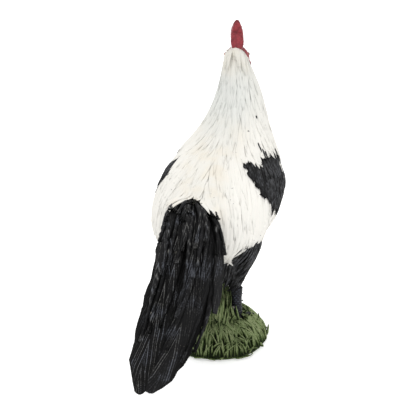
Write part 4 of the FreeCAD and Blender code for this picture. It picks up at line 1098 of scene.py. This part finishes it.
def notched(s, v, length, fray, dice):
    """How much of the width is missing at each point, where strands have parted at the edge."""
    missing = np.zeros_like(s)
    for side in (-1, 1):
        for _ in range(max(2, int(length / NOTCH_SPACING))):
            place, depth = dice.uniform(0.25, 0.98), dice.uniform(0.08, 0.3) * fray
            behind = (place - s) * length / NOTCH_LENGTH
            gap = np.where(behind > 0, np.clip(1 - behind, 0, 1), np.clip(1 + behind * 6, 0, 1))
            missing = np.maximum(missing, gap * depth * (v * side > 0))
    return missing


def stranded(s, v, half_mm, length, seed, dice):
    """How high a strand stands at each point, from 0 to 1, and how strong that strand is."""
    stray = 0.5 * np.sin(s * length / (6.3 * MM) + seed * 2.1) + 0.35 * np.sin(v * 4 + seed)
    phase = np.abs(v) * half_mm / STRAND_PITCH - s * length / STRAND_RUN + stray
    strand = (0.5 + 0.5 * np.cos(2 * math.pi * phase)) ** 0.8
    strength = dice.random(STRAND_COUNT)[np.floor(phase + 0.5).astype(int) % STRAND_COUNT]
    return strand, 0.3 + 0.7 * strength


# %% [markdown]
# The grid then takes its place on the bed. Its root dips under the feathers that lie above it, and its
# end stays clear of the table. Only the finished sheet gets its thickness, downwards, so that the
# strands on top keep their shape.

# %% One tail feather
STRAND_HEIGHT = 0.24 * MM
QUILL_WIDTH, QUILL_HEIGHT = 0.26 * MM, 0.2 * MM
ROW_PITCH, COLUMN_PITCH = 0.32 * MM, 0.16 * MM
ROOT_DIP, FOOT_DIP = 2.6 * MM, 0.5 * MM
LOWEST = 2.2 * MM
BLADE_THICKNESS = 0.6 * MM


def thickened(blade, marks, thick):
    """Writes the marks on the blade, gives it thickness and returns it as numbers."""
    for name, values in marks.items():
        layer = blade.data.attributes.new(name, "FLOAT", "POINT")
        layer.data.foreach_set("value", values.astype(np.float32))
    blade.data.update()
    press(blade, "SOLIDIFY", thickness=thick * 0.9, offset=-1)
    new_marks = np.zeros((len(marks), len(blade.data.vertices)))
    for name, values in zip(marks, new_marks):
        blade.data.attributes[name].data.foreach_get("value", values)
    points, faces = points_of(blade), faces_of(blade)
    bpy.data.objects.remove(blade)
    return points, faces, *new_marks


def tail_feather(span, centres, half_width, base, seed, shape, thick=BLADE_THICKNESS, fray=1.0):
    """A feather as points, faces, ridge and painted shade marks.

    It covers span of the bed, and its middle line runs from the first to the last of centres.
    """
    dice = np.random.default_rng(seed)
    start, end = span
    length = np.linalg.norm(np.diff(bed_point(np.linspace(start, end, 60), 0, 0), axis=0), axis=1).sum()
    rows = int(length / ROW_PITCH) + 1
    columns = max(10, int(half_width * TAIL_WIDTH / COLUMN_PITCH) // 2 * 2)
    blade = flat_grid(columns, rows - 1)
    flat = points_of(blade)
    v = flat[:, 0] * 2
    s = np.clip(flat[:, 1] + 0.5, 0, 1)
    long_wave = 0.06 * np.sin(s * length / (3.1 * MM) + seed)
    short_wave = 0.03 * np.sin(s * length / (1.3 * MM) + seed * 2)
    half = half_width * read(shape, s) * (1 + long_wave + short_wave)
    half_mm = half * TAIL_WIDTH / 2 * read(BED_WIDTH, start + (end - start) * s)
    edge = half * (1 - notched(s, v, length, fray, dice))
    sway = 0.035 * np.sin(s * 7 + seed * 1.7)
    u = np.clip(centres[0] + (centres[1] - centres[0]) * s + sway + v * edge, -1.3, 1.02)

    strand, weight = stranded(s, v, half_mm, length, seed, dice)
    dome = 1 - np.abs(v) ** 2.2
    quill = np.exp(-((v * half_mm / QUILL_WIDTH) ** 2)) * (1 - 0.7 * s)
    fade = np.clip((1 - np.abs(v)) * 4, 0.25, 1)
    relief = STRAND_HEIGHT * (strand - 0.5) * weight * fade
    height = base + thick * (0.05 + 0.95 * dome) + relief + QUILL_HEIGHT * quill
    t = start + (end - start) * s
    height = height - ROOT_DIP * np.clip(1 - t / 0.2, 0, 1) ** 1.3 - FOOT_DIP * np.clip(1 - s / 0.1, 0, 1)
    spots = bed_point(t, u, height)
    spots[:, 2] = np.maximum(spots[:, 2], LOWEST)
    blade.data.vertices.foreach_set("co", spots.ravel())

    ridge = np.clip(np.maximum(strand**1.5 * weight * (0.4 + 0.6 * dome), 0.5 * quill), 0, 1)
    # Painted shade: dark at the feather's edges, where the next one overlaps, at its root and in the valleys
    # between strands.
    painted_shade = np.clip((np.abs(v) - 0.62) / 0.3, 0, 1) + 0.6 * (1 - s) ** 6 + 0.4 * (1 - strand) ** 2
    return thickened(blade, {"ridge": ridge, "painted_shade": np.clip(painted_shade, 0, 1)}, thick)


# %% [markdown]
# Each feather of the tail has its own stretch of the bed, side, width and layer. The two longest are
# broad and blunt, one at the right is a strap and the others end in points. Each carries two or three
# narrow companions, because the sculptor split every feather into strips.

# %% The feathers of the tail
BLUNT = ((0, 0.45), (0.15, 0.7), (0.45, 1), (0.85, 1.05), (0.94, 1.1), (0.98, 1.0), (1, 0.7))
STRAP = ((0, 0.6), (0.3, 1.0), (0.8, 0.9), (0.94, 0.7), (1, 0.4))
SPREAD = ((0, 0.3), (0.15, 0.55), (0.45, 0.88), (0.85, 0.97), (0.94, 1.0), (0.98, 0.9), (1, 0.6))
POINTED = ((0, 0.6), (0.15, 0.8), (0.35, 1), (0.6, 0.86), (0.8, 0.52), (0.93, 0.22), (1, 0.05))
SHAPES = {"main_sickle_left": SPREAD, "main_sickle_right": BLUNT, "lesser_sickle_right_outer": STRAP}
TAIL_FEATHERS = (
    ("main_sickle_left", 0.05, 1.0, 0.5, 0.36, 0.6, 0),
    ("main_sickle_right", 0.05, 0.985, -0.42, -0.34, 0.42, 0),
    ("lesser_sickle_left_outer", 0.04, 0.7, 0.6, 0.62, 0.27, 1),
    ("lesser_sickle_left_inner", 0.04, 0.8, 0.17, 0.2, 0.24, 1),
    ("lesser_sickle_right_inner", 0.04, 0.86, -0.3, -0.22, 0.22, 1),
    ("lesser_sickle_right_outer", 0.04, 0.71, -0.74, -1.06, 0.15, 1),
    ("tail_covert_left_outer", 0.03, 0.44, 0.42, 0.5, 0.25, 2),
    ("tail_covert_middle", 0.03, 0.5, -0.02, 0.02, 0.2, 2),
    ("tail_covert_right_inner", 0.03, 0.56, -0.42, -0.44, 0.19, 2),
    ("tail_covert_right_outer", 0.03, 0.36, -0.84, -0.86, 0.2, 2),
    ("root_covert_left", 0.01, 0.27, 0.5, 0.62, 0.2, 2.6),
    ("root_covert_middle", 0.0, 0.33, -0.1, 0.12, 0.2, 2.7),
    ("root_covert_right", -0.01, 0.3, -0.45, -0.6, 0.2, 2.6),
)
LAYER, LAYER_SHARE = 1.07 * MM, 0.8
BED_GAP = 0.25 * MM
STRIP_RISE, STRIP_THICKNESS = 0.55 * MM, 0.7 * MM
MAIN_STRIPS, OTHER_STRIPS = (-0.62, 0.1, 0.6), (-0.5, 0.5)

for seed, (name, start, end, centre_from, centre_to, half_width, layer) in enumerate(TAIL_FEATHERS):
    coat = Coat()
    base = layer * LAYER * LAYER_SHARE + BED_GAP
    shape = SHAPES.get(name, POINTED)
    fray = 0.2 if layer == 0 else 1.0
    points, faces, ridge, painted_shade = tail_feather(
        (start, end), (centre_from, centre_to), half_width, base, seed, shape, fray=fray
    )
    coat.add(points, faces, ridge, (seed * 0.37) % 1, painted_shade)
    dice = random.Random(seed + 60)
    for number, side in enumerate(MAIN_STRIPS if layer == 0 else OTHER_STRIPS):
        off = side * half_width * (0.6 if name == "main_sickle_left" else 0.8)
        last = start + (end - start) * dice.uniform(0.5, 0.9)
        share = (last - start) / (end - start)
        centre_end = centre_from + (centre_to - centre_from) * share + off * 1.1
        width, strip_seed = dice.uniform(0.085, 0.13), seed * 5 + number
        centres = (centre_from + off, centre_end)
        points, faces, ridge, painted_shade = tail_feather(
            (start, last), centres, width, base + STRIP_RISE, strip_seed, POINTED, STRIP_THICKNESS
        )
        coat.add(points, faces, ridge, dice.random(), painted_shade)
    coat.build(name + "_feather", TAIL_BLACK, "black_paint", name)

# %% [markdown]
# The stiff inner tail shows between the long feathers. It keeps the casting's shape, pulled down at its
# root so that it stays under the saddle, and gets narrow feathers that end at different places. Core and
# feathers get a strong painted shade and little grey brush, because they lie under the others.

# %% The inner tail
INNER_FEATHERS = 11
coat = Coat()
inner, _, inner_faces = wrapped(["tail_core"], 0.4 * MM, 8)
near_root = np.clip(1 - np.linalg.norm(inner - ROOT, axis=1) / (12 * MM), 0, 1)
inner += np.array((0, -0.3, -1)) * (near_root[:, None] * 3.6 * MM)
# The core's black mark of 0.8 is painted shade: nearly black.
coat.add(inner, inner_faces, 0.1, 0.2, 0.8)
dice = random.Random(5)
for number in range(INNER_FEATHERS):
    side = -0.9 + number * 0.165
    span = (0.06, dice.uniform(0.7, 0.93))
    base = 0.1 * MM * (number % 3)
    points, faces, ridge, painted_shade = tail_feather(span, (side * 0.9, side), 0.15, base, 40 + number, POINTED)
    # Less grey brush and more painted shade on these lower feathers.
    coat.add(points, faces, ridge * 0.6, dice.random(), 0.35 + 0.65 * painted_shade)
coat.build("inner_tail_feathers", TAIL_BLACK, "black_paint", "tail_core")

# %% [markdown]
# ## The grass
#
# The base is a low mound of clay with blades pressed onto it. One blade is modelled: a narrow leaf
# folded along its middle. Its copies climb the mound from the rim and overlap, their tips a little
# proud. The blades of the lowest rows are long and lie close, the top ones are short and stand up.

# %% Grass on the mound
BLADE = feather_pattern(
    ribs=(0.0, 0.65, 1.0, 0.5, 0.0),
    widths=(0.7, 1.0, 1.0, 0.85, 0.6, 0.08),
    heights=(0.5, 0.9, 1.0, 0.9, 0.8, 0.3),
)
# The ridge mark grows from root to tip, so the blades are darker at their roots: painted shade.
BLADE_RIDGE_AND_ROOT_SHADE = BLADE.ridge * 0.65 + 0.35 * BLADE.points[:, 1]
MOUND_BLADE, TUFT_BLADE = 0.75 * MM, 0.55 * MM
GRASS_ROWS = (
    dict(low=0.1, high=1.2, gap=0.62, lengths=(8.0, 14.0), widths=(0.65, 1.15), rises=(0.1, 0.5)),
    dict(low=1.2, high=4.6, gap=0.85, lengths=(7.0, 12.0), widths=(0.65, 1.15), rises=(0.1, 0.9)),
    dict(low=4.6, high=9.0, gap=1.1, lengths=(5.0, 9.0), widths=(0.6, 1.1), rises=(0.3, 1.6)),
)


def uphill(spot):
    return Vector((-spot.x * 0.25, -spot.y * 0.25, 9 * MM))


mound, mound_normals, mound_faces = wrapped(["grass_base"], 0.7 * MM, 14)
mound_spots = [Vector(spot) for spot in mound]
ground = BVHTree.FromPolygons(mound_spots, mound_faces)
mound_spots = [spot for spot, out in zip(mound_spots, mound_normals) if spot.z > 0.1 * MM and out[2] > -0.4]
mound[:, 2] = np.maximum(mound[:, 2], 0)
coat = Coat()
# The mound's ridge mark falls with height, so above the rim it takes the painted shade colour under the
# blades.
coat.add(mound, mound_faces, np.clip(0.75 - mound[:, 2] / (1.8 * MM), 0, 1), 0.3, 0.0)
dice = random.Random(9)
for row in GRASS_ROWS:
    spots = [spot for spot in mound_spots if row["low"] * MM < spot.z < row["high"] * MM]
    for root in scatter(spots, lambda spot: row["gap"] * MM, 9):
        length = dice.uniform(*row["lengths"]) * MM
        places, normals, headings = walk(ground, root, uphill, length, dice.gauss(0, 0.06), 0.9 * MM)
        turn = dice.gauss(0, 0.045)
        sway = np.linspace(0, 1, len(places))[:, None] ** 2 * turn * row["lengths"][1] * MM
        line = (places + np.cross(headings, normals) * sway * 4, normals, headings)
        width = dice.uniform(*row["widths"]) * MM
        points = bend(BLADE, line, width, MOUND_BLADE, 0.1 * MM, dice.uniform(*row["rises"]) * MM)
        points[:, 2] = np.maximum(points[:, 2], 0.02 * MM)
        coat.lay(BLADE, points, dice.random(), 0.0, BLADE_RIDGE_AND_ROOT_SHADE)
coat.build("grass_mound", GRASS, "grass_green", "grass_base")

# %% [markdown]
# The tall tuft has three kinds of blades. Some stand in a clump between the legs. Long ones start on
# the rear slope and lean up against the others, crossing here and there. The last stand upright beside
# the right leg, where the photograph shows a fringe of tips.

# %% The tall tuft
CLUMP_BLADES, SLOPE_BLADES, UPRIGHT_BLADES = 90, 150, 64
ROOT_SINK = 0.4 * MM
tuft_low, tuft_high = (Vector(corner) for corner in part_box("tall_grass_tuft"))
middle = (tuft_low + tuft_high) / 2
coat = Coat()
tuft_core, _, tuft_faces = wrapped(["tall_grass_tuft"], 0.3 * MM, 4)
# A ridge mark of 0 gives the core inside the clump the painted shade colour.
coat.add(tuft_core, tuft_faces, 0.0, 0.3, 0.0)
dice = random.Random(21)


def tuft_spot(turn, reach, height):
    """A place in the clump: an angle round its middle, a share of its half width and a height."""
    x = middle.x + math.cos(turn) * reach * (tuft_high.x - tuft_low.x) * 0.5
    y = middle.y + math.sin(turn) * reach * (tuft_high.y - tuft_low.y) * 0.5
    return np.array((x, y, height))


def ground_spot(x, y):
    """A root a little below the mound's surface, near x and y in mm."""
    place, normal, _, _ = ground.find_nearest(Vector((x, y, 7)) * MM)
    return np.array(place) - np.array(normal) * ROOT_SINK


def grow(root, top, lean, outset=0.0, widest=1.3):
    """A blade from root to top that bows by lean; outset is added to its first direction."""
    length = float(np.linalg.norm(top - root))
    line = free_line(root, (top - root) / length + outset, lean, length)
    points = bend(BLADE, line, dice.uniform(0.8, widest) * MM, TUFT_BLADE, 0.2 * MM, 0.0)
    coat.lay(BLADE, points, dice.random(), 0.0, BLADE_RIDGE_AND_ROOT_SHADE)


for _ in range(CLUMP_BLADES):
    turn, reach = dice.uniform(0, 2 * math.pi), math.sqrt(dice.random())
    root = tuft_spot(turn, reach * 0.8, tuft_low.z - 0.5 * MM)
    turn = turn + dice.gauss(0, 0.3)
    top = tuft_spot(turn, reach * 0.95, tuft_high.z - dice.uniform(0, 6.5) * MM * (0.4 + reach))
    grow(root, top, (dice.gauss(0, 0.05), dice.gauss(0, 0.05), 0))
for _ in range(SLOPE_BLADES):
    across = dice.uniform(-8.0, 6.5)
    down = dice.uniform(3.0, 11.5)
    climb = min(1.0, (13 - down) / 9)
    reach_up = 7 + 13 * dice.uniform(0.35, 1.0) * climb * (1 - abs(across + 1) / 13)
    top = np.array((across * 0.62 + dice.gauss(0, 0.9), 2.6 + down * 0.25, reach_up)) * MM
    bow = np.array((dice.gauss(0, 0.06), 0.22, 0.0))
    grow(ground_spot(across, down), top, -bow, bow, 1.4)
for _ in range(UPRIGHT_BLADES):
    across = dice.uniform(-6.4, -0.5)
    root = ground_spot(across, dice.uniform(-1.5, 3.0))
    x, y = across * 0.92 + dice.gauss(0, 0.4), dice.uniform(-1.0, 2.0)
    z = min(18.6 - dice.uniform(0, 1) ** 2 * 5, 18.6 + (across + 2.2) * 1.5)
    grow(root, np.array((x, y, z)) * MM, (dice.gauss(0, 0.05), dice.gauss(0, 0.04), 0))
coat.build("grass_tuft", GRASS, "grass_green", "tall_grass_tuft")

# %% [markdown]
# ## Skin, scales and horn
#
# The bare parts are small, so their detail is very fine: overlapping scales on the legs, grains on the
# comb. Each casting is wrapped in a skin fine enough to hold that detail, and each point of the skin is
# then moved in or out. So every carving is a function that gives a depth for each point.


# %% Carve the small castings
def carved(name, piece_name, voxel, relax, carve, finish, slot_name):
    """Replaces a casting; carve gives each point's depth, ridge and share along the piece."""
    spots, normals, faces = wrapped([name], voxel, relax)
    depth, ridge, along = carve(spots, normals)
    coat = Coat()
    coat.add(spots + normals * np.asarray(depth)[:, None], faces, ridge, 0.5, 0.0, along)
    coat.build(piece_name, finish, slot_name, name)


def grains(spots, size):
    """Rounded grains of about size, from 0 between them to 1 on top."""
    values = [noise.voronoi(Vector(spot) / size)[0][0] for spot in spots]
    return 1 - np.clip(np.array(values) * 1.3, 0, 1)


def granular(depth, size):
    def carve(spots, normals):
        top = grains(spots, size)
        return (top - 0.5) * depth, top, 0.0

    return carve


def leg_scales(centre):
    """Rings of rounded scales round an upright leg, each row set off by half a scale."""
    row_height, scales_round, depth = 0.62 * MM, 9, 0.1 * MM

    def carve(spots, normals):
        angle = np.arctan2(spots[:, 1] - centre[1], spots[:, 0] - centre[0]) / (2 * math.pi)
        row = spots[:, 2] / row_height
        level = np.floor(row)
        column = angle * scales_round + 0.5 * (level % 2)
        du = (column - np.floor(column) - 0.5) * 2
        dv = (row - level - 0.5) * 2
        top = np.clip(1 - 0.8 * (du**2 + dv**2), 0, 1)
        return (top - 0.4) * depth, 0.3 + 0.7 * top, 0.0

    return carve


def toe_rings(centre):
    """Rings across the toes, on their upper side only."""
    pitch, depth, claw_start = 0.78 * MM, 0.12 * MM, 6.5 * MM

    def carve(spots, normals):
        away = np.linalg.norm(spots[:, :2] - np.array(centre)[:2], axis=1)
        ring = 0.5 - 0.5 * np.cos(away / pitch * 2 * math.pi)
        upper = np.clip(normals[:, 2], 0, 1)
        return (ring - 0.4) * depth * upper, 0.15 + 0.85 * ring * upper, np.clip(away / claw_start, 0, 1)

    return carve


def tip_share(low, high):
    """No carving, only how far along the bird a point lies between root and tip."""

    def carve(spots, normals):
        return np.zeros(len(spots)), 0.6, np.clip((spots[:, 1] - low) / (high - low), 0, 1)

    return carve


# %% [markdown]
# The comb is a thin flat casting with five points. On the real one the blade swells above its root and
# closes to a narrow rounded top. A table of thickness by height does that before the grains are cut.

# %% The comb's blade
COMB_THICKNESS = (
    (0, 0.85),
    (0.15, 0.95),
    (0.4, 1.2),
    (0.6, 1.3),
    (0.8, 1.35),
    (0.9, 1.2),
    (0.96, 0.9),
    (1, 0.5),
)


def rounded_comb(spots, normals):
    """Moves the points to the blade's thickness, then gives the grains."""
    slope, offset = np.polyfit(spots[:, 1], spots[:, 0], 1)
    centre = slope * spots[:, 1] + offset
    low, high = spots[:, 2].min(), spots[:, 2].max()
    share = read(COMB_THICKNESS, (spots[:, 2] - low) / (high - low))
    spots[:, 0] = centre + (spots[:, 0] - centre) * share
    return granular(0.12 * MM, 0.7 * MM)(spots, normals)


# %% [markdown]
# An eye is a bead that looks straight out to its side, a little sunk so that the face makes its lid.
# The pupil is painted where the bead's surface faces sideways.


# %% Legs, face, comb, beak and eyes
def pupil(sign):
    def carve(spots, normals):
        return np.full(len(spots), -0.32 * MM), np.clip(normals[:, 0] * sign, 0, 1), 0.0

    return carve


for side in ("left", "right"):
    low, high = (np.array(corner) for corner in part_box(side + "_shank"))
    heart = (low + high) / 2
    spur = tip_share(heart[1], high[1] + 3 * MM)
    small_parts = (
        ("shank", "leg_scales", 0.13, 4, leg_scales(heart), SLATE, "leg_slate"),
        ("foot", "scaled_foot", 0.15, 4, toe_rings(heart), SLATE, "leg_slate"),
        ("spur", "horn_spur", 0.08, 2, spur, CLAW, "leg_slate"),
        ("wattle", "red_wattle", 0.16, 4, granular(0.12 * MM, 0.6 * MM), RED, "red_paint"),
        ("earlobe", "red_earlobe", 0.12, 3, granular(0.08 * MM, 0.5 * MM), RED, "red_paint"),
    )
    for node, piece, voxel, relax, carve, finish, slot_name in small_parts:
        carved(f"{side}_{node}", f"{side}_{piece}", voxel * MM, relax, carve, finish, slot_name)
carved("head", "red_face", 0.16 * MM, 5, granular(0.14 * MM, 0.7 * MM), RED, "red_paint")
carved("comb", "red_comb", 0.16 * MM, 26, rounded_comb, RED, "red_paint")
for name in ("upper_beak", "lower_beak"):
    low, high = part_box(name)
    carved(name, name + "_horn", 0.09 * MM, 3, tip_share(high[1], low[1]), HORN, "beak_horn")
for side, sign in (("left", 1), ("right", -1)):
    carved(side + "_eye", side + "_amber_eye", 0.07 * MM, 12, pupil(sign), EYE, "eye_amber")

# %% [markdown]
# The pins and dowels inside the figure keep their CAD shape: they are turned or drawn metal, and only
# their finish is missing.

# %% Pins and dowels
for name in ("left_leg_pin", "right_leg_pin", "neck_dowel", "tail_dowel"):
    for slot in nodes[name].material_slots:
        slot.material = STEEL
    print(name, len(nodes[name].material_slots), "slot")
